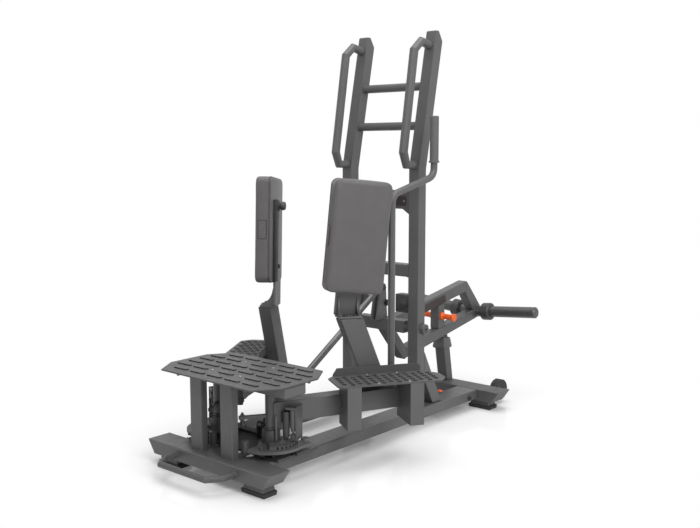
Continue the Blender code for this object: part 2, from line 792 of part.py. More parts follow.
def build_lever(side, sign):
    pivot = empty(
        f"lever_frame_{side}",
        FRAME,
        (sign * PIVOT_X, PIVOT_Y, 0.0),
        (0.0, 0.0, -sign * math.radians(SPLAY)),
    )
    toe = math.radians(BEAM_TOE)
    spot = (0.0, 0.0, (HUB_BOTTOM + HUB_TOP) / 2.0)
    hub = rod_mesh("hub", HUB_R, HUB_TOP - HUB_BOTTOM, 32, spot)
    lever = link(f"lever_arm_{side}", hub, STEEL, pivot)
    spot = (0.0, 0.0, (HUB_BOTTOM + HUB_FOOT_TOP) / 2.0)
    hub_foot = rod_mesh("hub_foot", HUB_FOOT_R, HUB_FOOT_TOP - HUB_BOTTOM, 32, spot)
    walls = sorted((-sign * BEAM_IN, sign * BEAM_OUT))
    beam = box_mesh("beam", (walls[0], 0.0, BEAM_BOTTOM), (walls[1], BEAM_LEN, BEAM_BOTTOM + BEAM_H))
    round_edges(beam, TUBE_EDGE)
    beam.transform(Matrix.Rotation(sign * toe, 4, "Z"))
    joined = [hub_foot, beam]
    for front in (LEG_FRONT, LEG_REAR):
        back = front + LEG_W
        outline = [
            (sign * STEP_OUTER, front),
            (sign * STEP_OUTER, back),
            (sign * (beam_outer(back) - 0.010), back),
            (sign * (beam_outer(back) - 0.010), front),
        ]
        leg = plate_mesh("leg", outline, STEP_TOP - STEP_T - SEAT_GAP - LEG_BOTTOM)
        leg.transform(Matrix.Translation((0.0, 0.0, LEG_BOTTOM)))
        joined.append(leg)
    joined.append(mast_mesh(sign, toe))
    joined += pin_box_meshes(sign)
    collar_foot = PIN_BOX_BOTTOM + PIN_FOOT_T - 0.001
    spot = (*polar(sign, HOLE_RADIUS, PIN_ANGLE), (collar_foot + PIN_COLLAR_TOP) / 2.0)
    joined.append(rod_mesh("pin_collar", PIN_COLLAR_R, PIN_COLLAR_TOP - collar_foot, 24, spot))
    combine(lever, joined, "UNION")
    bore = rod_mesh("hub_bore", SHAFT_R + RUN_GAP, HUB_TOP, 32, (0.0, 0.0, HUB_TOP / 2.0 + 0.05))
    pin_x, pin_y = polar(sign, HOLE_RADIUS, PIN_ANGLE)
    low, high = PIN_BOX_BOTTOM - 0.005, PIN_COLLAR_TOP + 0.005
    pin_bore = rod_mesh("pin_bore", PIN_R + RUN_GAP, high - low, 16, (pin_x, pin_y, (low + high) / 2.0))
    top_bore = rod_mesh("top_bore", PIN_BARREL_R + RUN_GAP, 0.030, 16, (pin_x, pin_y, PIN_BOX_TOP))
    combine(lever, (bore, pin_bore, top_bore), "DIFFERENCE")
    build_pin(side, sign, pivot)
    build_step(side, sign, pivot)
    build_pad(side, sign, pivot)
    return pivot


def round_edges(mesh, width, segments=2):
    shape = bmesh.new()
    shape.from_mesh(mesh)
    bmesh.ops.bevel(
        shape,
        geom=list(shape.edges),
        offset=width,
        offset_type="OFFSET",
        affect="EDGES",
        segments=segments,
        profile=0.5,
        material=-1,
    )
    shape.to_mesh(mesh)
    shape.free()


def mast_mesh(sign, toe):
    """Leaning tube against the beam's inner side, up to the pad bracket."""
    lean = math.tan(math.radians(MAST_LEAN))
    half = MAST_W / 2.0 / math.cos(math.radians(MAST_LEAN))
    drop = (MAST_TOP_Z - MAST_BOTTOM_Z) * lean
    outline = [
        (MAST_TOP_Y - half, MAST_TOP_Z),
        (MAST_TOP_Y + half, MAST_TOP_Z),
        (MAST_TOP_Y + drop + half, MAST_BOTTOM_Z),
        (MAST_TOP_Y + drop - half, MAST_BOTTOM_Z),
    ]
    mesh = side_mesh("mast", outline, MAST_T, -sign * (BEAM_IN + MAST_T / 2.0 - 0.001))
    round_edges(mesh, 0.004)
    mesh.transform(Matrix.Rotation(sign * toe, 4, "Z"))
    return mesh


def pin_box_meshes(sign):
    """Outer wall, top plate and foot plate of the pin's housing, square to the pin's radius."""
    outer = HOLE_RADIUS + PIN_WALL_OUT
    front, rear = -PIN_WALL_FRONT, PIN_WALL_REAR
    turn = Matrix.Rotation(sign * math.radians(90.0 - PIN_ANGLE), 4, "Z")
    meshes = []
    for low, high in (
        ((outer - PIN_WALL_T, front, PIN_BOX_BOTTOM), (outer, rear, PIN_BOX_TOP)),
        (
            (HOLE_RADIUS - PIN_TOP_IN, front + 0.0005, PIN_BOX_TOP - PIN_TOP_T),
            (outer - 0.001, rear - 0.0005, PIN_BOX_TOP - 0.0005),
        ),
        (
            (HOLE_RADIUS - PIN_FOOT_IN, front + 0.0005, PIN_BOX_BOTTOM + 0.0005),
            (outer - 0.001, -front, PIN_BOX_BOTTOM + PIN_FOOT_T),
        ),
    ):
        ends = sorted((sign * low[0], sign * high[0]))
        plate = box_mesh("pin_plate", (ends[0], low[1], low[2]), (ends[1], high[1], high[2]))
        plate.transform(turn)
        meshes.append(plate)
    return meshes


def build_pin(side, sign, pivot):
    """Pull pin parked just above the fan; it drops by its travel into a hole of the fan."""
    x, y = polar(sign, HOLE_RADIUS, PIN_ANGLE)
    tip = FAN_TOP + RUN_GAP
    barrel_foot = PIN_COLLAR_TOP + PIN_TRAVEL + 0.0005
    barrel_top = PIN_BOX_TOP - PIN_TOP_T - 0.0010
    profile = [
        (0.0, barrel_top),
        (PIN_BARREL_R - 0.0015, barrel_top),
        (PIN_BARREL_R, barrel_top - 0.0020),
        (PIN_BARREL_R, barrel_foot),
        (PIN_R, barrel_foot),
        (PIN_R, tip + 0.0010),
        (PIN_R - 0.0010, tip),
        (0.0, tip),
    ]
    shade_turned(turned(f"lock_pin_{side}", profile, BRIGHT, pivot, (x, y, 0.0), (0.0, 0.0, 0.0), 16))


def build_step(side, sign, pivot):
    """Splayed foot plate with its raised inner lip."""
    middle = (STEP_OUTER - STEP_INNER) / 2.0
    outline = [
        (STEP_OUTER, STEP_FRONT + 0.018),
        (STEP_OUTER - 0.012, STEP_FRONT + 0.002),
        (middle - 0.053, STEP_FRONT),
        (-STEP_INNER, LIP_FRONT),
        (-STEP_INNER, LIP_REAR),
        (middle - 0.020, STEP_REAR),
        (middle + 0.040, STEP_REAR),
        (STEP_OUTER, STEP_REAR - 0.032),
    ]
    ring = [(sign * x, y) for x, y in outline]
    plate = link(
        f"foot_plate_{side}",
        plate_mesh("foot_plate", ring, STEP_T),
        TREAD,
        pivot,
        (0.0, 0.0, STEP_TOP - STEP_T),
    )
    lip_outline = [
        (LIP_FRONT, 0.0005),
        (LIP_REAR, 0.0005),
        (LIP_REAR, STEP_T + LIP_H - 0.010),
        (LIP_REAR - 0.012, STEP_T + LIP_H),
        (LIP_FRONT + 0.015, STEP_T + LIP_H),
        (LIP_FRONT, STEP_T + 0.006),
    ]
    lip = side_mesh("lip", lip_outline, LIP_T, sign * (-STEP_INNER + LIP_T / 2.0 + 0.0003))
    combine(plate, (lip,), "UNION")


def build_pad(side, sign, pivot):
    """Pad bracket with its tilted blade and gussets, the pad and its knob."""
    saddle_z = MAST_TOP_Z + SEAT_GAP
    head = empty(f"pad_frame_{side}", pivot, (sign * SADDLE_X, SADDLE_Y, saddle_z + SADDLE_T))
    tilted = empty(
        f"pad_tilt_{side}",
        head,
        (0.0, 0.0, 0.0),
        (-math.radians(BLADE_TILT), 0.0, 0.0),
    )
    saddle_low = -SADDLE_W / 2.0 - SADDLE_SHIFT
    saddle_high = SADDLE_W / 2.0 - SADDLE_SHIFT
    ends = sorted((sign * saddle_low, sign * saddle_high))
    saddle = box_mesh("saddle", (ends[0], -SADDLE_L / 2.0, -SADDLE_T), (ends[1], SADDLE_L / 2.0, 0.0))
    round_edges(saddle, 0.0015, 1)
    bracket = link(f"pad_bracket_{side}", saddle, STEEL, head)
    rise = BLADE_TOP_Z - saddle_z - SADDLE_T
    wide, narrow = BLADE_W / 2.0, BLADE_TOP_W / 2.0
    taper = GUSSET_H + 0.030
    blade_outline = [
        (-wide, -0.003),
        (wide, -0.003),
        (wide, taper),
        (narrow, taper + 0.050),
        (narrow, rise - 0.010),
        (narrow - 0.010, rise),
        (-narrow + 0.010, rise),
        (-narrow, rise - 0.010),
        (-narrow, taper + 0.050),
        (-wide, taper),
    ]
    back = saddle_low + BLADE_T / 2.0 + 0.001
    blade = side_mesh("blade", blade_outline, BLADE_T, sign * back)
    front = back + BLADE_T / 2.0
    gussets = []
    for edge in (-1.0, 1.0):
        reach = saddle_high - front - 0.006
        curve = [(front - 0.003, -0.003), (front + reach, -0.003), (front + reach, 0.004)]
        for step in range(1, 6):
            turn = math.pi / 2.0 * step / 6.0
            curve.append(
                (
                    front + reach - (reach - 0.004) * math.sin(turn),
                    0.004 + (GUSSET_H - 0.004) * (1.0 - math.cos(turn)),
                )
            )
        curve += [(front + 0.003, GUSSET_H), (front - 0.003, GUSSET_H)]
        ring = [(sign * x, z) for x, z in curve]
        place = edge * GUSSET_AT
        gussets.append(front_mesh("gusset", ring, GUSSET_T, place - GUSSET_T / 2.0))
    combine(bracket, (blade, *gussets), "UNION", tilted)
    pad_x = front + SEAT_GAP + PAD_T / 2.0
    pad_z = (PAD_BOTTOM_Z - saddle_z - SADDLE_T) + PAD_H / 2.0
    pad = link(f"pad_{side}", pad_mesh(f"pad_{side}"), LEATHER, tilted, (sign * pad_x, 0.0, pad_z))
    pad.rotation_euler = (0.0, 0.0, 0.0 if sign > 0.0 else math.pi)
    knob_z = KNOB_Z - saddle_z - SADDLE_T
    profile = [
        (0.0, KNOB_L),
        (KNOB_R - 0.003, KNOB_L),
        (KNOB_R, KNOB_L - 0.003),
        (KNOB_R, 0.008),
        (KNOB_R - 0.005, 0.005),
        (KNOB_R - 0.005, 0.0),
        (0.0, 0.0),
    ]
    knob = turned(
        f"pad_knob_{side}",
        profile,
        RUBBER,
        tilted,
        (sign * (back - BLADE_T / 2.0 - SEAT_GAP), 0.0, knob_z),
        (0.0, -sign * math.pi / 2.0, 0.0),
        20,
    )
    shade_turned(knob)


def pad_mesh(name):
    """Cushion: a flat back, drawn-in sides and a crowned face that looks along +X."""
    mesh = bpy.data.meshes.new(name)
    shape = bmesh.new()
    half_w = PAD_W / 2.0
    half_h = PAD_H / 2.0
    layers = ((0.0, 0.0015), (0.06, 0.0), (0.45, 0.0030), (0.80, 0.0), (0.95, 0.0050), (1.0, 0.0130))
    rim = corner_steps()
    rings = []
    for level, inset in layers:
        ring = []
        for across, up in rim:
            x = -PAD_T / 2.0 + 0.0001 + level * (PAD_T - 0.0080)
            spot = round_rect(across, up, half_w - inset, half_h - inset, PAD_CORNER)
            ring.append(shape.verts.new((x, spot[0], spot[1])))
        rings.append(ring)
    for lower, upper in zip(rings, rings[1:]):
        for index in range(len(rim)):
            after = (index + 1) % len(rim)
            shape.faces.new((lower[index], lower[after], upper[after], upper[index]))
    shape.faces.new(list(reversed(rings[0])))
    inner = rings[-1]
    crown = ((0.72, 0.0042), (0.42, 0.0066), (0.15, 0.0078))
    for share, lift in crown:
        ring = []
        for vert in rings[-1]:
            x = -PAD_T / 2.0 + 0.0001 + PAD_T - 0.0080 + lift
            ring.append(shape.verts.new((x, vert.co.y * share, vert.co.z * share)))
        for index in range(len(rim)):
            after = (index + 1) % len(rim)
            shape.faces.new((inner[index], inner[after], ring[after], ring[index]))
        inner = ring
    shape.faces.new(inner)
    bmesh.ops.recalc_face_normals(shape, faces=shape.faces)
    shape.to_mesh(mesh)
    shape.free()
    smooth(mesh, 60.0)
    return mesh


def corner_steps():
    """Corner by corner parameters of a rounded rectangle, as (corner, turn)."""
    return [(corner, step / 6.0) for corner in range(4) for step in range(7)]


def round_rect(corner, turn, half_w, half_h, radius):
    signs = ((1.0, 1.0), (-1.0, 1.0), (-1.0, -1.0), (1.0, -1.0))[int(corner)]
    angle = math.pi / 2.0 * (corner + turn)
    y = signs[0] * (half_w - radius) + radius * math.cos(angle)
    z = signs[1] * (half_h - radius) + radius * math.sin(angle)
    return y, z


def build_assist(pivot):
    """Tube from the side of the right beam up to a grip beside the upright."""
    toe = math.radians(BEAM_TOE)
    aside = BEAM_IN + ASSIST_R + SEAT_GAP
    x = -ASSIST_Y * math.tan(toe) - aside / math.cos(toe)
    along = ASSIST_Y / math.cos(toe) + aside * math.tan(toe)
    mast_half = MAST_W / 2.0 / math.cos(math.radians(MAST_LEAN))
    run = along - ASSIST_R - MAST_TOP_Y - mast_half
    foot = MAST_TOP_Z - run / math.tan(math.radians(MAST_LEAN)) + 0.002
    splay = math.radians(SPLAY)
    ahead = Vector((-math.sin(splay), math.cos(splay), 0.0))
    base = Vector((x, ASSIST_Y, 0.0))
    rise = base + Vector((0.0, 0.0, ASSIST_RISE))
    far = base + ahead * ASSIST_REACH + Vector((0.0, 0.0, ASSIST_RISE + 0.0640))
    top = Vector((far.x, far.y, ASSIST_TOP))
    corners = [base + Vector((0.0, 0.0, foot)), rise, far, top]
    mesh = pipe_mesh("assist_handle", rounded_path([tuple(c) for c in corners], 0.040), ASSIST_R)
    link("assist_handle", mesh, STEEL, pivot)
    bore = ASSIST_R + SEAT_GAP
    roof = ASSIST_TOP + SEAT_GAP
    low = roof + 0.004 - GRIP_LEN
    profile = [
        (0.0, roof + 0.004),
        (GRIP_R - 0.003, roof + 0.004),
        (GRIP_R, roof + 0.001),
        (GRIP_R, low + GRIP_COLLAR_T),
        (GRIP_COLLAR_R, low + GRIP_COLLAR_T - 0.0015),
        (GRIP_COLLAR_R, low + 0.0015),
        (GRIP_COLLAR_R - 0.0015, low),
        (bore, low),
        (bore, roof),
        (0.0, roof),
    ]
    shade_turned(turned("assist_grip", profile, RUBBER, pivot, (far.x, far.y, 0.0), (0.0, 0.0, 0.0), 20))


def build_uprights():
    lean = math.tan(math.radians(UPRIGHT_LEAN))
    back = UPRIGHT_Y + UPRIGHT_W
    bend_back = UPRIGHT_BEND_Z - UPRIGHT_W * math.tan(math.radians(UPRIGHT_LEAN / 2.0))
    front_top = UPRIGHT_Y + (UPRIGHT_TOP_Z - UPRIGHT_BEND_Z) * lean
    wide = UPRIGHT_W / math.cos(math.radians(UPRIGHT_LEAN))
    rear_z = UPRIGHT_TOP_Z - UPRIGHT_CUT
    outline = [
        (UPRIGHT_Y, FLOOR_TOP + SEAT_GAP),
        (back, FLOOR_TOP + SEAT_GAP),
        (back, bend_back),
        (front_top - UPRIGHT_CUT * lean + wide, rear_z),
        (front_top + 0.018, UPRIGHT_TOP_Z),
        (front_top, UPRIGHT_TOP_Z),
        (UPRIGHT_Y, UPRIGHT_BEND_Z),
    ]
    for side, sign in SIDES:
        middle = sign * (UPRIGHT_OUTER - UPRIGHT_W / 2.0)
        upright = link(f"upright_{side}", side_mesh("upright", outline, UPRIGHT_W, middle), STEEL, FRAME)
        soften(upright, 0.0035)
        spot = (middle, AXLE_Y, AXLE_Z)
        hole = rod_mesh("axle_hole", AXLE_R + SEAT_GAP, UPRIGHT_W + 0.02, 24, spot, "X")
        combine(upright, (hole,), "DIFFERENCE")
    inner = UPRIGHT_OUTER - UPRIGHT_W - SEAT_GAP
    for name, height in (("rung_upper", RUNG_UPPER_Z), ("rung_lower", RUNG_LOWER_Z)):
        depth = UPRIGHT_Y + (height - UPRIGHT_BEND_Z) * lean + wide / 2.0
        rung = rod_mesh(name, RUNG_R, 2.0 * inner, 28, (0.0, 0.0, 0.0), "X")
        link(name, rung, STEEL, FRAME, (0.0, depth, height))
    cut = inner - SIGN_CUT
    sign_top = SIGN_BOTTOM + SIGN_H
    outline = [
        (-inner, SIGN_BOTTOM),
        (-cut, SIGN_BOTTOM + SIGN_ARCH),
        (cut, SIGN_BOTTOM + SIGN_ARCH),
        (inner, SIGN_BOTTOM),
        (inner, sign_top),
        (-inner, sign_top),
    ]
    link("sign_plate", front_mesh("sign_plate", outline, SIGN_T, UPRIGHT_Y + 0.002), STEEL, FRAME)
    low = (-inner, UPRIGHT_Y, CROSS_Z)
    high = (inner, UPRIGHT_Y + UPRIGHT_W, CROSS_Z + CROSS_H)
    soften(link("cross_tube", box_mesh("cross_tube", low, high), STEEL, FRAME), TUBE_EDGE)
    build_grabs(lean)
    build_braces(back)


def build_grabs(lean):
    """Long grab handle on the front of each upright, with mitred corners."""
    top_y = UPRIGHT_Y + (GRAB_TOP_Z - UPRIGHT_BEND_Z) * lean
    along = Vector((0.0, -math.cos(math.radians(UPRIGHT_LEAN)), math.sin(math.radians(UPRIGHT_LEAN))))
    start = Vector((0.0, top_y, GRAB_TOP_Z)) + along * SEAT_GAP
    out = start + along * GRAB_REACH
    for side, sign in SIDES:
        x = sign * (UPRIGHT_OUTER - UPRIGHT_W / 2.0)
        path = [
            start,
            out,
            out + Vector((0.0, -0.0443, -0.0366)),
            Vector((0.0, UPRIGHT_Y - GRAB_FOOT_REACH, GRAB_BOTTOM_Z + GRAB_DROP + 0.006)),
            Vector((0.0, UPRIGHT_Y - GRAB_FOOT_REACH + 0.020, GRAB_BOTTOM_Z)),
            Vector((0.0, UPRIGHT_Y - SEAT_GAP, GRAB_BOTTOM_Z)),
        ]
        mesh = pipe_mesh("grab_handle", path, GRAB_R)
        link(f"grab_handle_{side}", mesh, STEEL, FRAME, (x, 0.0, 0.0))


def build_braces(back):
    slope = math.tan(math.radians(BRACE_SLOPE))
    floor = FLOOR_TOP + SEAT_GAP
    wall = back + SEAT_GAP
    front = back + BRACE_FOOT
    rear = front + BRACE_W
    outline = [
        (front, floor),
        (rear, floor),
        (wall, floor + (rear - wall) / slope),
        (wall, floor + (front - wall) / slope),
    ]
    for side, sign in SIDES:
        middle = sign * (UPRIGHT_OUTER - UPRIGHT_W / 2.0)
        brace = link(f"brace_{side}", side_mesh("brace", outline, UPRIGHT_W, middle), STEEL, FRAME)
        soften(brace, 0.003)


def build_weight_arm():
    pivot = empty("weight_arm_frame", FRAME, (0.0, AXLE_Y, AXLE_Z))
    cap = UPRIGHT_OUTER + SEAT_GAP
    profile = [
        (0.0, cap + AXLE_CAP_T),
        (AXLE_CAP_R - 0.003, cap + AXLE_CAP_T),
        (AXLE_CAP_R, cap + AXLE_CAP_T - 0.003),
        (AXLE_CAP_R, cap),
        (AXLE_R, cap),
        (AXLE_R, -cap),
        (AXLE_CAP_R, -cap),
        (AXLE_CAP_R, -cap - AXLE_CAP_T + 0.003),
        (AXLE_CAP_R - 0.003, -cap - AXLE_CAP_T),
        (0.0, -cap - AXLE_CAP_T),
    ]
    turn = (0.0, math.pi / 2.0, 0.0)
    shade_turned(turned("weight_axle", profile, STEEL, FRAME, (0.0, AXLE_Y, AXLE_Z), turn, 24))
    inner = UPRIGHT_OUTER - UPRIGHT_W - RUN_GAP
    half = ROCKER_W / 2.0
    body = inner - 0.024
    rocker_mesh = box_mesh("rocker", (-body, -half, -half), (body, half, half))
    round_edges(rocker_mesh, TUBE_EDGE)
    rocker = link("rocker", rocker_mesh, STEEL, pivot)
    sleeve = rod_mesh("rocker_sleeve", 0.0215, 2.0 * inner, 32, (0.0, 0.0, 0.0), "X")
    crank_y, crank_z = CRANK_Y - AXLE_Y, CRANK_Z - AXLE_Z
    cheeks = []
    for sign in (-1.0, 1.0):
        outline = [(CRANK_FRONT - AXLE_Y, half - 0.004), (CRANK_REAR - AXLE_Y, half - 0.004)]
        for step in range(9):
            turn_at = math.radians(-5.0) + math.pi * step / 8.0
            outline.append((crank_y + 0.018 * math.cos(turn_at), crank_z + 0.018 * math.sin(turn_at)))
        aside = sign * (ROD_EYE_W / 2.0 + RUN_GAP + CRANK_T / 2.0)
        cheeks.append(side_mesh("cheek", outline, CRANK_T, aside))
    length = ROD_EYE_W + 2.0 * (RUN_GAP + CRANK_T) + 0.012
    cheeks.append(rod_mesh("crank_pin", ROD_PIN_R, length, 24, (0.0, crank_y, crank_z), "X"))
    combine(rocker, (sleeve, *cheeks), "UNION")
    bore = rod_mesh("rocker_bore", AXLE_R + RUN_GAP, 2.0 * UPRIGHT_OUTER, 32, (0.0, 0.0, 0.0), "X")
    combine(rocker, (bore,), "DIFFERENCE")
    build_arm_tubes(pivot, half)
    build_horns(pivot)


def line_z(y, at_y, at_z, rise):
    return at_z + (y - at_y) * math.tan(math.radians(rise))


def build_arm_tubes(pivot, half):
    """Upper, lower and tail tubes with two struts, face to face at their joints."""
    upper_half = UPPER_H / 2.0
    lower_half = LOWER_H / 2.0

    def upper(y, side):
        return line_z(y, UPPER_AT_Y, UPPER_AT_Z, UPPER_RISE) + side * upper_half

    def lower(y, side):
        return line_z(y, LOWER_AT_Y, LOWER_AT_Z, LOWER_RISE) + side * lower_half

    start = AXLE_Y + half + SEAT_GAP
    outlines = {
        "weight_arm_upper": [
            (start, upper(start, -1.0)),
            (UPPER_REAR, upper(UPPER_REAR, -1.0)),
            (UPPER_REAR, upper(UPPER_REAR, 1.0)),
            (start, upper(start, 1.0)),
        ],
        "weight_arm_lower": [
            (LOWER_FRONT_Y, lower(LOWER_FRONT_Y, -1.0)),
            (LOWER_REAR, lower(LOWER_REAR, -1.0)),
            (LOWER_REAR, lower(LOWER_REAR, 1.0)),
            (LOWER_FRONT_Y, lower(LOWER_FRONT_Y, 1.0)),
        ],
    }
    top_wall = UPPER_REAR + SEAT_GAP
    low_wall = LOWER_REAR + SEAT_GAP
    outlines["weight_arm_tail"] = [
        (top_wall, upper(top_wall, -1.0)),
        (TAIL_THROAT_Y, TAIL_THROAT_Z),
        (low_wall, lower(low_wall, 1.0)),
        (low_wall, lower(low_wall, -1.0)),
        (TAIL_REAR, TAIL_REAR_LOW),
        (TAIL_REAR, TAIL_REAR_Z),
        (TAIL_TOP_Y, TAIL_TOP_Z),
        (top_wall, upper(top_wall, 1.0)),
    ]
    left = STRUT_Y - STRUT_W / 2.0
    right = STRUT_Y + STRUT_W / 2.0
    outlines["weight_arm_strut"] = [
        (left, lower(left, 1.0) + SEAT_GAP),
        (right, lower(right, 1.0) + SEAT_GAP),
        (right, upper(right, -1.0) - SEAT_GAP),
        (left, upper(left, -1.0) - SEAT_GAP),
    ]
    under = AXLE_Z - half - SEAT_GAP
    wall = LOWER_FRONT_Y - SEAT_GAP
    run = Vector((HEEL_Y - KNEE_Y, HEEL_Z - under)).normalized()
    shift = Vector((-run.y, run.x)) * FRONT_STRUT_W
    knee = Vector((KNEE_Y, under)) + shift
    slope = run.y / run.x
    rise = math.tan(math.radians(UPPER_RISE))
    beneath = 2.0 * SEAT_GAP
    crook = (upper(knee.x, -1.0) - beneath - knee.y) / (slope - rise) + knee.x
    outlines["weight_arm_front"] = [
        (KNEE_Y, under),
        (HEEL_Y, HEEL_Z),
        (TOE_Y, TOE_Z),
        (wall, lower(wall, -1.0)),
        (wall, min(lower(wall, 1.0), knee.y + (wall - knee.x) * slope)),
        (crook, upper(crook, -1.0) - beneath),
        (start - SEAT_GAP, upper(start, -1.0) - beneath),
        (start - SEAT_GAP, under),
    ]
    for name, outline in outlines.items():
        local = [(y - AXLE_Y, z - AXLE_Z) for y, z in outline]
        tube = link(name, side_mesh(name, local, ARM_W), STEEL, pivot)
        soften(tube, 0.003)


def build_horns(pivot):
    root = ARM_W / 2.0 + SEAT_GAP + HORN_R * math.sin(math.radians(HORN_TILT))
    for side, sign in SIDES:
        tilt = sign * math.radians(90.0 - HORN_TILT)
        spot = (sign * root, HORN_Y - AXLE_Y, HORN_Z - AXLE_Z)
        profile = [
            (0.0, HORN_LEN),
            (HORN_R - 0.004, HORN_LEN),
            (HORN_R, HORN_LEN - 0.004),
            (HORN_R, 0.0),
            (0.0, 0.0),
        ]
        shade_turned(turned(f"horn_{side}", profile, BRIGHT, pivot, spot, (0.0, tilt, 0.0), 32))
        bore = HORN_R + SEAT_GAP
        top = STOP_AT + STOP_L
        mid = STOP_AT + STOP_L / 2.0
        ring = [
            (bore, top),
            (STOP_R - 0.005, top),
            (STOP_R, top - 0.006),
            (STOP_R, mid + 0.010),
            (STOP_R - 0.004, mid + 0.003),
            (STOP_R - 0.004, mid - 0.003),
            (STOP_R, mid - 0.010),
            (STOP_R, STOP_AT + 0.006),
            (STOP_R - 0.005, STOP_AT),
            (bore, STOP_AT),
        ]
        shade_turned(turned(f"horn_stop_{side}", ring, RUBBER, pivot, spot, (0.0, tilt, 0.0), 32, True))
        peg = [
            (0.0, PEG_LEN),
            (PEG_FLANGE_R - 0.002, PEG_LEN),
            (PEG_FLANGE_R, PEG_LEN - 0.002),
            (PEG_FLANGE_R, PEG_LEN - 0.008),
            (PEG_R, PEG_LEN - 0.014),
            (PEG_R, 0.014),
            (PEG_FLANGE_R, 0.008),
            (PEG_FLANGE_R, 0.0),
            (0.0, 0.0),
        ]
        spot = (sign * (ARM_W / 2.0 + SEAT_GAP), STRUT_Y - AXLE_Y, PEG_Z - AXLE_Z)
        turn = (0.0, sign * math.pi / 2.0, 0.0)
        shade_turned(turned(f"band_peg_{side}", peg, ORANGE, pivot, spot, turn, 20))


def build_link_rod():
    """Draw rod from the yoke's pin up to the crank pin, with an eye at each end."""
    reach = Vector((0.0, CRANK_Y - ROD_FRONT_Y, CRANK_Z - ROD_FRONT_Z))
    pitch = math.atan2(reach.z, reach.y)
    length = reach.length
    pivot = empty("rod_frame", FRAME, (0.0, ROD_FRONT_Y, ROD_FRONT_Z), (pitch, 0.0, 0.0))
    spot = (0.0, length / 2.0, 0.0)
    mesh = rod_mesh("link_rod", ROD_R, length - 1.2 * ROD_EYE_R, 24)
    mesh.transform(Matrix.Translation(spot) @ Matrix.Rotation(math.pi / 2.0, 4, "X"))
    rod = link("link_rod", mesh, BRIGHT, pivot)
    eyes, bores = [], []
    for place in (0.0, length):
        eyes.append(rod_mesh("eye", ROD_EYE_R, ROD_EYE_W, 28, (0.0, place, 0.0), "X"))
        gap = RUN_GAP if place == 0.0 else SLIP_GAP
        bores.append(rod_mesh("eye_bore", ROD_PIN_R + gap, ROD_EYE_W * 3.0, 24, (0.0, place, 0.0), "X"))
        shave_at = 0.020 if place == 0.0 else length - 0.070
        for sign in (-1.0, 1.0):
            x_edges = sorted((sign * ROD_EYE_W / 2.0, sign * 0.030))
            low = (x_edges[0], min(place, shave_at) - 0.030, -0.030)
            high = (x_edges[1], max(place, shave_at) + 0.004, 0.030)
            if place > 0.0:
                low = (x_edges[0], shave_at - 0.004, -0.030)
                high = (x_edges[1], place + 0.030, 0.030)
            bores.append(box_mesh("shave", low, high))
    combine(rod, eyes, "UNION")
    combine(rod, bores, "DIFFERENCE")


def build_rear_post():
    """Leaning post on the rear crossbar and the rubber buffer under the lower arm tube."""
    half_w, half_d = REAR_POST_W / 2.0, REAR_POST_D / 2.0
    lean = math.radians(LOWER_RISE)
    floor = FLOOR_TOP + SEAT_GAP
    top_front = (REAR_POST_Y - half_d * math.cos(lean), REAR_POST_TOP - half_d * math.sin(lean))
    top_rear = (REAR_POST_Y + half_d * math.cos(lean), REAR_POST_TOP + half_d * math.sin(lean))
    outline = [
        (top_front[0] + (top_front[1] - floor) * math.tan(lean), floor),
        (top_rear[0] + (top_rear[1] - floor) * math.tan(lean), floor),
        top_rear,
        top_front,
    ]
    soften(link("rear_post", side_mesh("rear_post", outline, 2.0 * half_w), STEEL, FRAME), 0.003)
    under = line_z(REAR_POST_Y, LOWER_AT_Y, LOWER_AT_Z, LOWER_RISE) - LOWER_H / 2.0
    top = (under - REAR_POST_TOP) * math.cos(lean) - SEAT_GAP
    seat = empty("buffer_seat", FRAME, (0.0, REAR_POST_Y, REAR_POST_TOP), (lean, 0.0, 0.0))
    rim_low = (-RIM_W / 2.0, -RIM_W / 2.0, SEAT_GAP)
    buffer = link("rest_buffer", box_mesh("rim", rim_low, (RIM_W / 2.0, RIM_W / 2.0, RIM_T)), RUBBER, seat)
    block = [
        (-BUFFER_D / 2.0, RIM_T - 0.002),
        (BUFFER_D / 2.0, RIM_T - 0.002),
        (BUFFER_TOP_D / 2.0, top),
        (-BUFFER_TOP_D / 2.0, top),
    ]
    combine(buffer, (side_mesh("block", block, BUFFER_W),), "UNION")


build_base()
build_wheels()
build_deck()
build_pivot_base()
build_yoke()
build_fans()
frames = {side: build_lever(side, sign) for side, sign in SIDES}
build_assist(frames["right"])
build_uprights()
build_weight_arm()
build_link_rod()
build_rear_post()
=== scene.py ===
import json
import math

import bmesh
import bpy
from mathutils import Matrix, Vector


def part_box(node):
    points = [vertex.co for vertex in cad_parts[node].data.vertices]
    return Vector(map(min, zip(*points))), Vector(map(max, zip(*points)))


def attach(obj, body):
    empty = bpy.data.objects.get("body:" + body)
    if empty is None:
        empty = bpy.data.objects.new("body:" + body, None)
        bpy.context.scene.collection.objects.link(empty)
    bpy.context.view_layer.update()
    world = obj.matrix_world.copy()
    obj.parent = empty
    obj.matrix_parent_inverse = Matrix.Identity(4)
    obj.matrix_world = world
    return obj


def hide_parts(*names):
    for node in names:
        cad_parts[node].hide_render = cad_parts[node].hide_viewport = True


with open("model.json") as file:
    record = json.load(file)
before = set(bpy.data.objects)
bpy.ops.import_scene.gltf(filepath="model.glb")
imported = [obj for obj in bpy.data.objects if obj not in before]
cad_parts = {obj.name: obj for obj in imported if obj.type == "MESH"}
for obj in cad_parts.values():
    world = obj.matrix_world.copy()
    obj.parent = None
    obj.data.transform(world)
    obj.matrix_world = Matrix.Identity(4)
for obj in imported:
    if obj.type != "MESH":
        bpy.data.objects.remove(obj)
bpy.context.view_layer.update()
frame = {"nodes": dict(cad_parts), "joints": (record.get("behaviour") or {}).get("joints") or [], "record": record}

# a standing hip abductor machine: +Y runs back to the loading horns, +X is its right side
nodes = frame["nodes"]
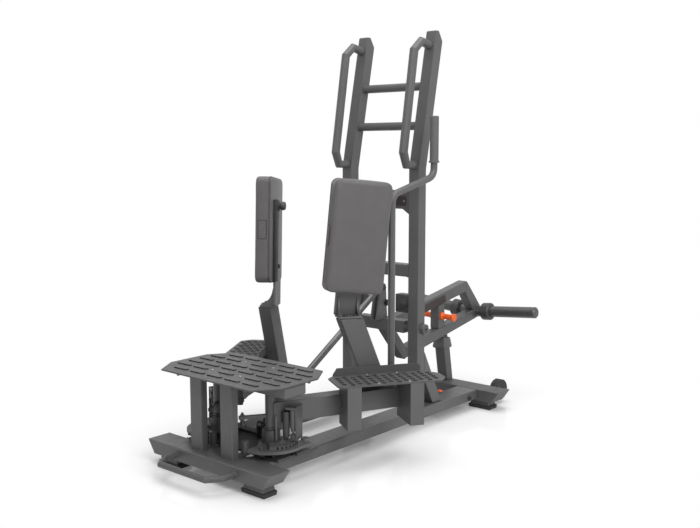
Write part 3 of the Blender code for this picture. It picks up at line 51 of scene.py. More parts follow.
signs = (-1.0, 1.0)
sides = (("left", -1.0), ("right", 1.0))
pivots = {joint["name"]: Vector(joint["pos_m"]) for joint in frame["joints"] if "pos_m" in joint}
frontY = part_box("front_crossbar")[0].y
up = Vector((0.0, 0.0, 1.0))
rearward = Vector((0.0, 1.0, 0.0))
moveTo = Matrix.Translation
print("frame loaded:", len(nodes), "nodes")


def at(x, depth, z):
    return Vector((x, frontY + depth, z))  # depth is measured back from the front crossbar


def outward(sign):
    return Vector((sign, 0.0, 0.0))


def middleOf(name):
    low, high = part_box(name)
    return (low + high) / 2.0


def turned(degrees, axis="Z"):
    return Matrix.Rotation(math.radians(degrees), 4, axis)


def facing(base, direction):
    # place with its own Z axis along this direction
    return moveTo(base) @ direction.normalized().to_track_quat("Z", "Y").to_matrix().to_4x4()


def rolled(place, direction):
    # the same place with its X axis turned towards this direction
    along = place.to_3x3().inverted() @ direction
    return place @ Matrix.Rotation(math.atan2(along.y, along.x), 4, "Z")


def adjust(item, **settings):
    for key, value in settings.items():
        setattr(item, key, value)
    return item


def linkObject(name, data):
    item = bpy.data.objects.new(name, data)
    bpy.context.scene.collection.objects.link(item)
    return item


def makeObject(name, shape):
    mesh = bpy.data.meshes.new(name)
    shape.to_mesh(mesh)
    shape.free()
    return linkObject(name, mesh)


# materials

def setInputs(tree, node, inputs):
    # each input takes a plain value, or is linked to an output or to a node's first output
    for key, value in inputs.items():
        if isinstance(value, bpy.types.Node):
            value = value.outputs[0]
        if isinstance(value, bpy.types.NodeSocket):
            tree.links.new(value, node.inputs[key])
        else:
            node.inputs[key].default_value = value
    return node


def addNode(tree, kind, inputs=None, **settings):
    return setInputs(tree, adjust(tree.nodes.new("ShaderNode" + kind), **settings), inputs or {})


def startMaterial(name, look):
    material = bpy.data.materials.new(name)
    material.use_nodes = True
    tree = material.node_tree
    shader = setInputs(tree, tree.nodes["Principled BSDF"], {
        "Metallic": look.get("metallic", 0.0),
        "Specular IOR Level": look.get("specular", 0.5),
        "Sheen Weight": look.get("sheen", 0.0),
    })
    place = addNode(tree, "TexCoord").outputs["Object"]
    stretch = look.get("stretch", (1.0, 1.0, 1.0))
    mapping = addNode(tree, "Mapping", {"Vector": place, "Scale": stretch})
    return material, tree, shader, mapping.outputs["Vector"]


def addNoise(tree, vector, size, detail=3.0, roughness=0.5):
    inputs = {"Vector": vector, "Scale": 1.0 / size, "Detail": detail, "Roughness": roughness}
    return addNode(tree, "TexNoise", inputs).outputs["Fac"]


def addRange(tree, source, low, high, fromLow=0.3, fromHigh=0.7):
    inputs = {0: source, 1: fromLow, 2: fromHigh, 3: low, 4: high}
    return addNode(tree, "MapRange", inputs).outputs[0]


def addMix(tree, share, first, second, blend="MIX"):
    inputs = {0: share, 6: first, 7: second}
    return addNode(tree, "Mix", inputs, data_type="RGBA", blend_type=blend).outputs[2]


def addMottle(tree, noise, look):
    # colour that wavers between a darker and a lighter shade
    shades = [1.0 + sign * look["mottle"][0] for sign in signs]
    dark, light = ((*[channel * shade for channel in look["colour"]], 1.0) for shade in shades)
    return addMix(tree, addRange(tree, noise, 0.0, 1.0), dark, light)


def addBump(tree, height, strength, distance, under=None):
    inputs = {"Height": height, "Strength": strength, "Distance": distance}
    if under is not None:
        inputs["Normal"] = under
    return addNode(tree, "Bump", inputs).outputs["Normal"]


def addRelief(tree, vector, relief, depth, under=None, detail=2.0):
    strength, size = relief
    return addBump(tree, addNoise(tree, vector, size, detail), strength, depth, under)


def makeFinish(name, look):
    # mottled colour and gloss, a soft orange peel and a fine grain on top of it
    material, tree, shader, vector = startMaterial(name, look)
    size = look["mottle"][1]
    gloss = addNoise(tree, vector, size * reliefLook["glossShare"], 3.0, 0.6)
    peel = addRelief(tree, vector, look["peel"], reliefLook["peelDepth"])
    setInputs(tree, shader, {
        "Base Color": addMottle(tree, addNoise(tree, vector, size, 4.0, 0.6), look),
        "Roughness": addRange(tree, gloss, *look["roughness"]),
        "Normal": addRelief(tree, vector, look["grain"], reliefLook["grainDepth"], peel),
    })
    return material


reliefLook = {"glossShare": 0.31, "peelDepth": 0.001, "grainDepth": 0.0004}
finishLooks = {  # mottle, peel and grain: strength and size
    "coatedSteel": {
        "colour": (0.103, 0.103, 0.104), "roughness": (0.4, 0.5), "metallic": 0.1, "specular": 0.4,
        "mottle": (0.05, 0.09), "peel": (0.1, 0.0042), "grain": (0.16, 0.0007),
    },
    "treadPlate": {
        "colour": (0.084, 0.084, 0.085), "roughness": (0.46, 0.6), "metallic": 0.1, "specular": 0.4,
        "mottle": (0.07, 0.05), "peel": (0.2, 0.0025), "grain": (0.35, 0.0006),
    },
    # painted shade: a darker copy of coatedSteel for parts that sit in shade; on the knob covers and horn collars
    # it is their own dark colour
    "shadedSteel": {
        "colour": (0.052, 0.052, 0.053), "roughness": (0.38, 0.5), "metallic": 0.2, "specular": 0.45,
        "mottle": (0.07, 0.05), "peel": (0.1, 0.0035), "grain": (0.2, 0.0007),
    },
    # painted shade: near-black that stands for the shade in the teeth's hollows, on the bars' flanks and in the
    # fan notches
    "openSlot": {
        "colour": (0.014, 0.014, 0.014), "roughness": (0.75, 0.9), "specular": 0.2,
        "mottle": (0.2, 0.02), "peel": (0.1, 0.003), "grain": (0.3, 0.0008),
    },
    "plainSteel": {
        "colour": (0.12, 0.12, 0.122), "roughness": (0.26, 0.36), "metallic": 0.55,
        "mottle": (0.08, 0.03), "peel": (0.04, 0.003), "grain": (0.2, 0.0009),
    },
    "hornSleeve": {
        "colour": (0.085, 0.085, 0.087), "roughness": (0.3, 0.42), "metallic": 0.45,
        "mottle": (0.08, 0.035), "peel": (0.1, 0.0015), "grain": (0.25, 0.0006),
        "stretch": (4.0, 1.0, 1.0),
    },
    "darkBolt": {
        "colour": (0.045, 0.045, 0.047), "roughness": (0.3, 0.45), "metallic": 0.7,
        "mottle": (0.15, 0.006), "peel": (0.08, 0.002), "grain": (0.2, 0.0006),
    },
    "zincScrew": {
        "colour": (0.36, 0.36, 0.37), "roughness": (0.25, 0.4), "metallic": 0.9,
        "mottle": (0.12, 0.005), "peel": (0.06, 0.002), "grain": (0.15, 0.0005),
    },
    "blackRubber": {
        "colour": (0.024, 0.024, 0.025), "roughness": (0.55, 0.75), "specular": 0.4,
        "mottle": (0.18, 0.02), "peel": (0.15, 0.003), "grain": (0.4, 0.0007),
    },
    "gripRubber": {
        "colour": (0.115, 0.114, 0.115), "roughness": (0.55, 0.7), "specular": 0.35,
        "mottle": (0.07, 0.02), "peel": (0.2, 0.0024), "grain": (0.45, 0.0006),
    },
    "orangePlastic": {
        "colour": (0.86, 0.125, 0.014), "roughness": (0.38, 0.48), "specular": 0.45,
        "mottle": (0.05, 0.02), "peel": (0.1, 0.003), "grain": (0.12, 0.0006),
    },
    "labelPlate": {
        "colour": (0.03, 0.021, 0.019), "roughness": (0.3, 0.42), "specular": 0.5,
        "mottle": (0.1, 0.02), "peel": (0.05, 0.004), "grain": (0.1, 0.0008),
    },
}
finishes = {name: makeFinish(name, look) for name, look in finishLooks.items()}


def makePadVinyl(name, look):
    # leather grain of small cells, with faint creases and rubbed lighter patches
    material, tree, shader, vector = startMaterial(name, look)
    inputs = {"Vector": vector, "Scale": 1.0 / look["cellSize"], "Smoothness": look["cellSmoothness"]}
    cells = addNode(tree, "TexVoronoi", inputs, feature="SMOOTH_F1").outputs["Distance"]
    mottle = addNoise(tree, vector, look["mottle"][1], 4.0, 0.6)
    pores = addRange(tree, cells, 0.9, 1.0, 0.0, 0.35)
    crease = addRelief(tree, vector, look["crease"], 0.0015, None, 3.0)
    cells = addBump(tree, cells, look["cells"], 0.0005, crease)
    setInputs(tree, shader, {
        "Base Color": addMix(tree, 1.0, addMottle(tree, mottle, look), pores, "MULTIPLY"),
        "Roughness": addRange(tree, mottle, *look["roughness"]),
        "Normal": addRelief(tree, vector, look["grain"], 0.0002, cells),
    })
    return material


padLook = {
    "colour": (0.104, 0.099, 0.101), "roughness": (0.42, 0.52), "specular": 0.35, "sheen": 0.06,
    "mottle": (0.05, 0.06), "cellSize": 0.0016, "cellSmoothness": 0.35, "cells": 0.3,
    "crease": (0.05, 0.035), "grain": (0.12, 0.0005),
}
seamColour = (0.062, 0.059, 0.06)
finishes["padVinyl"] = makePadVinyl("padVinyl", padLook)
finishes["seamVinyl"] = makePadVinyl("seamVinyl", {**padLook, "colour": seamColour})


def makeFootFinish(name, look):
    # painted block above, black rubber sole below its top edge
    material, tree, shader, vector = startMaterial(name, look)
    height = addNode(tree, "SeparateXYZ", {0: vector}).outputs["Z"]
    share = addRange(tree, height, 0.0, 1.0, look["soleTop"], look["soleTop"] + look["edge"])
    mottle = addRange(tree, addNoise(tree, vector, look["mottleSize"]), *look["mottle"])
    tint = addMix(tree, share, look["sole"], look["block"])
    setInputs(tree, shader, {
        "Base Color": addMix(tree, 1.0, tint, mottle, "MULTIPLY"),
        "Roughness": addRange(tree, share, *look["roughness"], 0.0, 1.0),
        "Normal": addRelief(tree, vector, look["grain"], 0.0004),
    })
    return material


footLook = {
    "soleTop": 0.0165, "edge": 0.0008, "sole": (0.034, 0.034, 0.035, 1.0), "specular": 0.4,
    "block": (0.088, 0.088, 0.089, 1.0), "roughness": (0.72, 0.48), "mottleSize": 0.02,
    "mottle": (0.9, 1.1), "grain": (0.3, 0.0008),
}
finishes["footFinish"] = makeFootFinish("footFinish", footLook)
print("materials made:", len(bpy.data.materials))


# finishes of the frame's own nodes, by slot, and of those that differ from their slot

slotFinish = {
    "coated_steel": "coatedSteel",
    "plain_steel": "plainSteel",
    "horn_sleeve": "hornSleeve",
    "black_rubber": "blackRubber",
    "tread_plate": "treadPlate",
    "pad_cover": "gripRubber",
    "orange_plastic": "orangePlastic",
}
otherFinish = {
    "footFinish": ("foot_front", "foot_rear"),
    "gripRubber": ("assist_grip",),
    "shadedSteel": ("weight_axle", "horn_stop", "rest_buffer", "draw_yoke", "pivot_base"),
    "treadPlate": ("sign_plate", "rear_crossbar", "lift_handle"),
}
refineLook = {
    "splitAngle": 26.0, "bevelAngle": 40.0, "weld": 0.00002, "flatAngle": 0.6,
    "tubeRounding": 0.0028, "plateRounding": 0.0009,
    "thicker": {"assist_handle": 0.0024, "grab_handle": 0.0032, "rung": 0.0022, "horn_left": 0.001,
                "horn_right": 0.001},
}
tubeNames = (
    "front_crossbar", "rear_crossbar", "rail", "front_post", "upright", "cross_tube", "brace",
    "weight_arm", "rear_post", "platform_channel", "lever_arm",
)
plateNames = ("platform_plate", "sign_plate", "pad_bracket", "rocker")


def refineNode(node):
    # welds the loose triangles, rounds the edges and shades the round faces smooth, as modifiers
    look = refineLook
    node.data.shade_smooth()
    adjust(node.modifiers.new("weld", "WELD"), merge_threshold=look["weld"])
    rounding = 0.0
    if node.name.startswith(tubeNames):
        rounding = look["tubeRounding"]
    if node.name.startswith(plateNames):
        rounding = look["plateRounding"]
    for start, extra in look["thicker"].items():
        if node.name.startswith(start):
            adjust(node.modifiers.new("swell", "DISPLACE"), strength=extra, mid_level=0.0)
    if rounding > 0.0:
        flat = node.modifiers.new("flat", "DECIMATE")
        adjust(flat, decimate_type="DISSOLVE", angle_limit=math.radians(look["flatAngle"]))
        adjust(
            node.modifiers.new("soft", "BEVEL"), width=rounding, segments=2, limit_method="ANGLE",
            angle_limit=math.radians(look["bevelAngle"]), harden_normals=False,
        )
    split = node.modifiers.new("split", "EDGE_SPLIT")
    adjust(split, split_angle=math.radians(look["splitAngle"]), use_edge_sharp=False)
    adjust(node.modifiers.new("even", "WEIGHTED_NORMAL"), keep_sharp=True)


def dressNodes():
    for entry in frame["record"]["subparts"]:
        name = entry["node"]
        look = slotFinish[entry["material_slot"]]
        for other, starts in otherFinish.items():
            if name.startswith(starts):
                look = other
        mesh = nodes[name].data
        mesh.materials.clear()
        mesh.materials.append(finishes[look])
        refineNode(nodes[name])


dressNodes()
print("frame nodes dressed")


# shapes and styles that many pieces share

coated = ("coated_steel", "coatedSteel")
shaded = ("coated_steel", "shadedSteel")
labelled = ("coated_steel", "labelPlate")
sleeved = ("plain_steel", "coatedSteel")
# plain steel parts in the shadedSteel finish, painted shade
shadedPlain = ("plain_steel", "shadedSteel")
bolted = ("plain_steel", "darkBolt")
screwed = ("plain_steel", "zincScrew")
rubbered = ("black_rubber", "blackRubber")
moulded = ("black_rubber", "shadedSteel")
toothed = ("tread_plate", "treadPlate", "openSlot")


def finishPiece(name, shape, style, body="frame", angle=35.0):
    # a style is a slot and the finishes in the order of the faces' material numbers
    bmesh.ops.recalc_face_normals(shape, faces=shape.faces)
    piece = makeObject(name, shape)
    slot, *looks = style
    for look in looks:
        piece.data.materials.append(finishes[look])
    piece.data.shade_smooth()
    piece.data.set_sharp_from_angle(angle=math.radians(angle))
    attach(piece, body)
    return piece


def bevelEdges(shape, edges, width, segments=2):
    bmesh.ops.bevel(
        shape, geom=edges, offset=width, offset_type="OFFSET", affect="EDGES",
        segments=segments, profile=0.5, material=-1, clamp_overlap=True,
    )


def ringEdges(verts, height):
    # edges of the flat ring of new points at one height
    ring = {vert for vert in verts if abs(vert.co.z - height) < 1e-6}
    return list({edge for vert in ring for edge in vert.link_edges if edge.other_vert(vert) in ring})


def addDrum(shape, radius, low, high, segments=24, rounding=0.0, topRadius=None):
    # upright cylinder or cone on the local Z axis, with its upper rim rounded
    made = bmesh.ops.create_cone(
        shape, cap_ends=True, segments=segments, radius1=radius, radius2=topRadius or radius,
        depth=high - low, matrix=moveTo((0.0, 0.0, (low + high) / 2.0)),
    )["verts"]
    if rounding > 0.0:
        bevelEdges(shape, ringEdges(made, high), rounding)


def stackDrums(*drums):
    # each drum: radius, low, high, segments, rounding of its upper rim, radius at its top
    shape = bmesh.new()
    for drum in drums:
        addDrum(shape, *drum)
    return shape


def ringShape(inner, outer, low, high, rounding, segments=48):
    # washer-like ring turned about the local Z axis
    shape = bmesh.new()
    outline = (
        (inner, low), (outer - rounding, low), (outer, low + rounding),
        (outer, high - rounding), (outer - rounding, high), (inner, high),
    )
    verts = [shape.verts.new((radius, 0.0, z)) for radius, z in outline]
    edges = [shape.edges.new((verts[i], verts[(i + 1) % len(verts)])) for i in range(len(verts))]
    bmesh.ops.spin(
        shape, geom=verts + edges, cent=(0.0, 0.0, 0.0), axis=(0.0, 0.0, 1.0),
        angle=2.0 * math.pi, steps=segments, use_merge=True, use_duplicate=False,
    )
    return shape


def addBlock(shape, near, far, rounding=0.0):
    # block between two opposite corners
    size = [abs(far[i] - near[i]) for i in range(3)]
    middle = [(far[i] + near[i]) / 2.0 for i in range(3)]
    matrix = moveTo(middle) @ Matrix.Diagonal((*size, 1.0))
    made = bmesh.ops.create_cube(shape, size=1.0, matrix=matrix)["verts"]
    if rounding > 0.0:
        bevelEdges(shape, list({edge for vert in made for edge in vert.link_edges}), rounding)
    return shape


def joinRings(shape, rings):
    # skin between neighbouring rings of points
    for lower, higher in zip(rings, rings[1:]):
        for i in range(len(lower)):
            shape.faces.new((lower[i - 1], lower[i], higher[i], higher[i - 1]))


def slabShape(near, far, axis, corner, segments=4):
    # block with the edges that run along this axis rounded
    shape = addBlock(bmesh.new(), near, far)
    edges = [
        edge for edge in shape.edges
        if abs((edge.verts[0].co - edge.verts[1].co).normalized()[axis]) > 0.9
    ]
    bevelEdges(shape, edges, corner, segments)
    return shape


def roundRim(shape, x, width, segments):
    # rounds the edges of the flat face at this X
    edges = [edge for edge in shape.edges if all(abs(vert.co.x - x) < 1e-6 for vert in edge.verts)]
    bevelEdges(shape, edges, width, segments)


def mergeShapes(parts, places=(Matrix(),)):
    # one shape with a copy of each part at each place
    shape = bmesh.new()
    for part in parts:
        stamp = bpy.data.meshes.new("stamp")
        part.to_mesh(stamp)
        part.free()
        for place in places:
            known = len(shape.verts)
            shape.from_mesh(stamp)
            shape.verts.ensure_lookup_table()
            bmesh.ops.transform(shape, matrix=place, verts=shape.verts[known:])
        bpy.data.meshes.remove(stamp)
    return shape


def scatter(seed, places):
    return mergeShapes([seed], places)


def mirrored(x, depth, z, direction=None):
    # a place on each side of the machine, local Z outwards or along this direction
    return [facing(at(sign * x, depth, z), direction or outward(sign)) for sign in signs]


def drumPiece(name, places, body, style, *drums):
    finishPiece(name, scatter(stackDrums(*drums), places), style, body)


def hexBolt(size):
    # washer and chamfered hex head, standing on local Z = 0; size is the head's half width
    return stackDrums(
        (size * 1.25, -0.0005, size * 0.22, 24, size * 0.06),
        (size, size * 0.2, size * 0.92, 6, size * 0.12),
        (size * 0.86, size * 0.88, size * 1.0, 24, size * 0.08),
    )


def socketScrew(size):
    # button head with its hex socket sunk in
    seed = stackDrums((size, -0.0005, size * 0.3), (size * 0.96, size * 0.28, size * 0.62, 24, size * 0.22))
    cap = max(seed.faces, key=lambda face: face.calc_center_median().z)
    bmesh.ops.inset_individual(seed, faces=[cap], thickness=size * 0.22, depth=0.0)
    bmesh.ops.translate(seed, vec=(0.0, 0.0, -size * 0.35), verts=cap.verts)
    return seed


def addLozenge(shape, length, width, height, rounding, segments=16):
    # long rounded bar along local X, standing on local Z = 0; returns its top face
    ring = bmesh.ops.create_circle(
        shape, cap_ends=True, segments=segments, radius=width / 2.0,
        matrix=Matrix.Rotation(math.pi / segments, 4, "Z"),
    )["verts"]
    for vert in ring:
        vert.co.x += math.copysign((length - width) / 2.0, vert.co.x)
    base = ring[0].link_faces[0]
    grown = bmesh.ops.extrude_face_region(shape, geom=[base], use_keep_orig=True)["geom"]
    lifted = [item for item in grown if isinstance(item, bmesh.types.BMVert)]
    bmesh.ops.translate(shape, vec=(0.0, 0.0, height), verts=lifted)
    if rounding > 0.0:
        bevelEdges(shape, ringEdges(lifted, height), rounding)
    return max(shape.faces, key=lambda face: face.calc_center_median().z)


# platform: staggered raised bars, face screws, nuts under the rim and the hanger below

platformLook = {
    "firstRow": 0.052, "rowPitch": 0.0524, "pitch": 0.089,
    "barLength": 0.072, "barWidth": 0.019, "barHeight": 0.0042, "barRounding": 0.0011,
    "screwX": 0.0715, "screwDepths": (0.1045, 0.262), "screwSize": 0.005,
    "nuts": ((0.139, 0.0065), (0.2815, 0.148), (0.2815, 0.224)), "nutSize": 0.005,
    "hangerX": (-0.042, 0.028), "hangerDepths": (0.138, 0.172), "hangerHeight": 0.016,
    "damperRadius": 0.011, "damperInset": 0.014, "damperBottom": 0.242,
}


def platformBars():
    look = platformLook
    under, deckTop = (corner.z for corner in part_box("platform_plate"))
    seed = bmesh.new()
    addLozenge(seed, look["barLength"], look["barWidth"], look["barHeight"], look["barRounding"])
    seed.normal_update()
    for face in seed.faces:
        face.material_index = 1 if abs(face.normal.z) < 0.35 else 0  # the steep flanks take the near-black painted shade
    whole = (-2.0, -1.0, 0.0, 1.0, 2.0)
    split = (-2.5, -1.5, -0.5, 0.5, 1.5, 2.5)
    aroundScrews = (-2.5, -1.5, 0.0, 1.5, 2.5)
    rows = (whole, aroundScrews, split, split, aroundScrews, whole)
    places = [
        moveTo(at(step * look["pitch"], look["firstRow"] + row * look["rowPitch"], deckTop))
        for row, steps in enumerate(rows) for step in steps
    ]
    finishPiece("platform_bars", scatter(seed, places), toothed)
    places = sum((mirrored(look["screwX"], depth, deckTop, up) for depth in look["screwDepths"]), [])
    finishPiece("platform_screws", scatter(socketScrew(look["screwSize"]), places), screwed)
    places = sum((mirrored(x, depth, under, -up) for x, depth in look["nuts"]), [])
    finishPiece("platform_rim_nuts", scatter(hexBolt(look["nutSize"]), places), bolted)


def platformHanger():
    # small bracket with two dampers under the middle of the platform
    look = platformLook
    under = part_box("platform_channel")[0].z
    (nearX, farX), (near, far) = look["hangerX"], look["hangerDepths"]
    low = at(nearX, near, under - look["hangerHeight"])
    bracket = addBlock(bmesh.new(), low, at(farX, far, under + 0.0004), 0.0015)
    radius, bottom = look["damperRadius"], look["damperBottom"]
    damper = stackDrums(
        (radius, bottom, under - look["hangerHeight"] + 0.0005, 28, 0.0015),
        (radius + 0.0035, bottom + 0.01, bottom + 0.024, 28),
    )
    spots = (nearX + look["damperInset"], farX - look["damperInset"])
    damper = scatter(damper, [moveTo(at(x, (near + far) / 2.0, 0.0)) for x in spots])
    shape = mergeShapes([bracket, damper])
    finishPiece("platform_hanger", shape, shaded)


platformBars()
platformHanger()
print("platform done")


# levers: foot plate teeth and screws, hub rings, guide rod, damper, tail arm, pin sleeve and
# the fittings of the pad brackets; the values of drums are in the order of addDrum

leverLook = {
    "splay": 32.7, "toothRows": 13, "firstRow": 0.253, "rowPitch": 0.0286, "plateThickness": 0.005,
    "toothColumns": (-0.059, -0.031, -0.003, 0.025, 0.053), "stagger": 0.014,
    "toothLength": 0.025, "toothWidth": 0.0172, "toothHeight": 0.0016, "toothRim": 0.0013,
    "screwX": (-0.0735, 0.065), "screwDepths": (0.372, 0.487), "screwSize": 0.004,
    "hubCap": (0.0212, 0.2955, 0.3075, 36, 0.0012), "hubCollar": (0.0245, 0.1725, 0.1795, 36, 0.0014),
    "hubFoot": (0.0335, 0.1358, 0.1722, 40, 0.003, 0.031155),
    "guide": (0.0045, 0.139, 0.227, 20, 0.0008), "guideAt": (0.0385, 75.0),
    "damper": (0.012, 0.148, 0.238, 32, 0.002), "damperStem": (0.0072, 0.138, 0.149),
    "damperX": 0.034, "damperY": 0.046, "pinSleeve": (0.0112, 0.179, 0.244, 32, 0.0012),
    "tail": ((-0.008, -0.112, 0.2125), (0.008, -0.015, 0.2245)), "tailBoltY": -0.1,
}
bracketLook = {
    "x": -0.1145, "y": 0.316, "z": 0.5323, "tilt": 5.5,
    "bladeBack": -0.0385, "bladeFront": -0.0295, "bladeGap": 0.0003,
    "lowBoltY": 0.006, "lowBoltZ": 0.1465, "lowBoltSize": 0.0088,
    "trackY": (-0.057, -0.008), "trackZ": (0.088, 0.405), "trackBack": -0.0402,
    "knobZ": 0.3827, "knobRadius": 0.017, "knobReach": 0.027,
    "saddleBoltX": 0.012, "saddleBoltY": 0.018, "saddleBoltSize": 0.0062,
}


def leverFrame(side, sign):
    pivot = moveTo((*pivots[f"lever_index_{side}"].xy, 0.0))
    return pivot @ turned(-sign * leverLook["splay"])


def saddleFrame(side, sign):
    # at the foot of the pad bracket
    look = bracketLook
    return leverFrame(side, sign) @ moveTo((sign * look["x"], look["y"], look["z"]))


def padFrame(side, sign):
    # the same spot, tilted with the bracket's blade
    return saddleFrame(side, sign) @ turned(-bracketLook["tilt"], "X")


def polarMove(sign, radius, degrees):
    # to a spot round a pivot, the angle measured outwards from the rear
    angle = math.radians(degrees)
    return moveTo((sign * radius * math.sin(angle), radius * math.cos(angle), 0.0))


def footPlateTeeth(side, sign):
    look = leverLook
    lever = leverFrame(side, sign)
    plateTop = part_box(f"foot_plate_{side}")[0].z + look["plateThickness"]
    seed = bmesh.new()
    top = addLozenge(seed, look["toothLength"], look["toothWidth"], look["toothHeight"], 0.0, 12)
    bmesh.ops.inset_individual(seed, faces=[top], thickness=look["toothRim"], depth=0.0)
    bmesh.ops.translate(seed, vec=(0.0, 0.0, -look["toothRim"]), verts=top.verts)
    # the sunk top of each tooth takes the near-black painted shade of a hollow
    top.material_index = 1
    places = []
    for row in range(look["toothRows"]):
        odd = (row + 1) % 2  # every other row stands half a step aside and has one tooth less
        depth = look["firstRow"] + row * look["rowPitch"]
        for x in look["toothColumns"][: 5 - odd]:
            places.append(lever @ moveTo((sign * (x + look["stagger"] * odd), depth, plateTop)))
    teeth = scatter(seed, places)
    finishPiece(f"foot_plate_teeth_{side}", teeth, toothed, f"lever_{side}")
    places = [
        lever @ facing((sign * x, depth, plateTop), up)
        for x in look["screwX"] for depth in look["screwDepths"]
    ]
    screws = scatter(socketScrew(look["screwSize"]), places)
    finishPiece(f"foot_plate_screws_{side}", screws, screwed, f"lever_{side}")


def hubDetails(side, sign):
    look = leverLook
    lever, body = leverFrame(side, sign), f"lever_{side}"
    drumPiece(f"hub_foot_{side}", [lever], body, shaded, look["hubCap"], look["hubCollar"], look["hubFoot"])
    place = lever @ polarMove(sign, *look["guideAt"])
    drumPiece(f"guide_rod_{side}", [place], body, coated, look["guide"])
    place = lever @ moveTo((sign * look["damperX"], look["damperY"], 0.0))
    drumPiece(f"hub_damper_{side}", [place], body, shaded, look["damper"], look["damperStem"])
    arm = addBlock(bmesh.new(), *look["tail"], 0.0014)  # short, forward from the hub, with a stop bolt
    low, high = (corner[2] for corner in look["tail"])
    finishPiece(f"tail_arm_{side}", scatter(arm, [lever]), coated, body)
    drumPiece(
        f"tail_bolt_{side}", [lever @ moveTo((0.0, look["tailBoltY"], 0.0))], body, shadedPlain,
        (0.0042, low - 0.01, high + 0.012, 20, 0.0008), (0.0075, high - 0.0002, high + 0.006, 6, 0.0008),
        (0.0085, low - 0.024, low - 0.006, 28, 0.002), (0.0075, low - 0.0062, low + 0.0002, 6, 0.0008),
    )
    body = f"lock_pin_{side}"
    place = moveTo((*middleOf(body).xy, 0.0))
    drumPiece(f"pin_sleeve_{side}", [place], body, sleeved, leverLook["pinSleeve"])


def bracketFittings(side, sign):
    look = bracketLook
    blade, body = padFrame(side, sign), f"lever_{side}"
    back, radius = sign * look["bladeBack"], look["knobRadius"]
    spot = blade @ facing((back, look["lowBoltY"], look["lowBoltZ"]), -outward(sign))
    finishPiece(f"pad_bolt_{side}", scatter(socketScrew(look["lowBoltSize"]), [spot]), bolted, body)
    # the track's black is partly the standoff's own dark and partly painted shade for its shaded front side
    (nearY, farY), (lowZ, highZ) = look["trackY"], look["trackZ"]
    front = sign * (look["bladeFront"] + look["bladeGap"])
    track = addBlock(bmesh.new(), (sign * look["trackBack"], nearY, lowZ), (front, farY, highZ), 0.0012)
    finishPiece(f"pad_track_{side}", scatter(track, [blade]), rubbered, body)
    spot = blade @ facing((back, 0.0, look["knobZ"]), -outward(sign))
    drumPiece(
        f"pad_knob_cover_{side}", [spot], body, moulded, (radius + 0.003, 0.0014, 0.005, 36, 0.001),
        (radius * 0.7, 0.0048, 0.01, 32), (radius, 0.0098, look["knobReach"], 36, 0.006),
    )
    x, y = sign * look["saddleBoltX"], look["saddleBoltY"]
    places = [saddleFrame(side, sign) @ facing((x, step * y, 0.0), up) for step in signs]
    bolts = scatter(hexBolt(look["saddleBoltSize"]), places)
    finishPiece(f"saddle_bolts_{side}", bolts, bolted, body)


for side, sign in sides:
    footPlateTeeth(side, sign)
    hubDetails(side, sign)
    bracketFittings(side, sign)
print("levers done")


# fans: bumper bolt, round cover on the rear boss and the rim's notches, drawn as painted shade

fanLook = {
    "ledgeDrop": 0.01, "bottomDrop": 0.02, "bumperAt": (0.094, 155.0), "bossAt": (0.12, 53.0),
    "notchRadius": 0.096, "notchFrom": 64.0, "notchStep": 9.6, "notches": 7,
}


def fanDetails(side, sign):
    look = fanLook
    body = f"fan_{side}"
    fan = moveTo((*pivots[f"fan_swing_{side}"].xy, 0.0))
    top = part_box(body)[1].z
    ledge, bottom = top - look["ledgeDrop"], top - look["bottomDrop"]
    place = fan @ polarMove(sign, *look["bumperAt"])
    drumPiece(
        f"fan_bumper_{side}", [place], body, shadedPlain, (0.0135, bottom - 0.0085, bottom + 0.0004, 32),
        (0.0085, ledge - 0.0004, ledge + 0.0075, 24, 0.0012),
        (0.006, ledge + 0.007, ledge + 0.015, 24, 0.0012),
    )
    place = fan @ polarMove(sign, *look["bossAt"])
    drumPiece(
        f"fan_boss_cover_{side}", [place], body, coated,
        (0.0172, top - 0.0004, top + 0.0072, 36, 0.0028), (0.006, top + 0.0068, top + 0.0095, 6, 0.0008),
    )
    # dark blocks at the rim: painted shade that stands for the hollows of the notches
    notch = addBlock(bmesh.new(), (-0.003, -0.0012, ledge + 0.0006), (0.003, 0.0006, top - 0.0008))
    angles = [look["notchFrom"] + count * look["notchStep"] for count in range(look["notches"])]
    places = [fan @ polarMove(sign, look["notchRadius"], angle) @ turned(-sign * angle) for angle in angles]
    finishPiece(f"fan_notches_{side}", scatter(notch, places), ("coated_steel", "openSlot"), body)


for side, sign in sides:
    fanDetails(side, sign)
print("fans done")


# base: stop studs, rail pegs and caps, pivot plate bolts, wheels, rest cap and weld seams

baseLook = {
    "studAt": (0.0835, 0.1102, 0.0), "studRadius": 0.0135, "studTop": 0.135,
    "tabX": (0.0655, 0.1015), "tabDepths": (0.075, 0.118), "tabHeight": 0.0032,
    "pegAt": (0.13, 1.21, 0.0), "pegRise": 0.0083,
    "capDepth": 1.308, "capZ": 0.06, "capRadius": 0.01, "capReach": 0.006,
    "plateRise": 0.0083, "boltX": (0.13, 0.199), "boltDepths": (0.136, 0.306), "boltSize": 0.008,
    "restFoot": 0.0265, "restWaist": 0.0312, "restTop": 0.025,
}
wheelLook = {
    "hubRadius": 0.029, "spokes": 6, "spokeInner": 0.015, "spokeOuter": 0.0285, "spokeHalf": 0.0022,
    "tyreInner": 0.013, "tyreOuter": 0.046, "tyreReach": 0.0095, "tyreRounding": 0.0035,
}


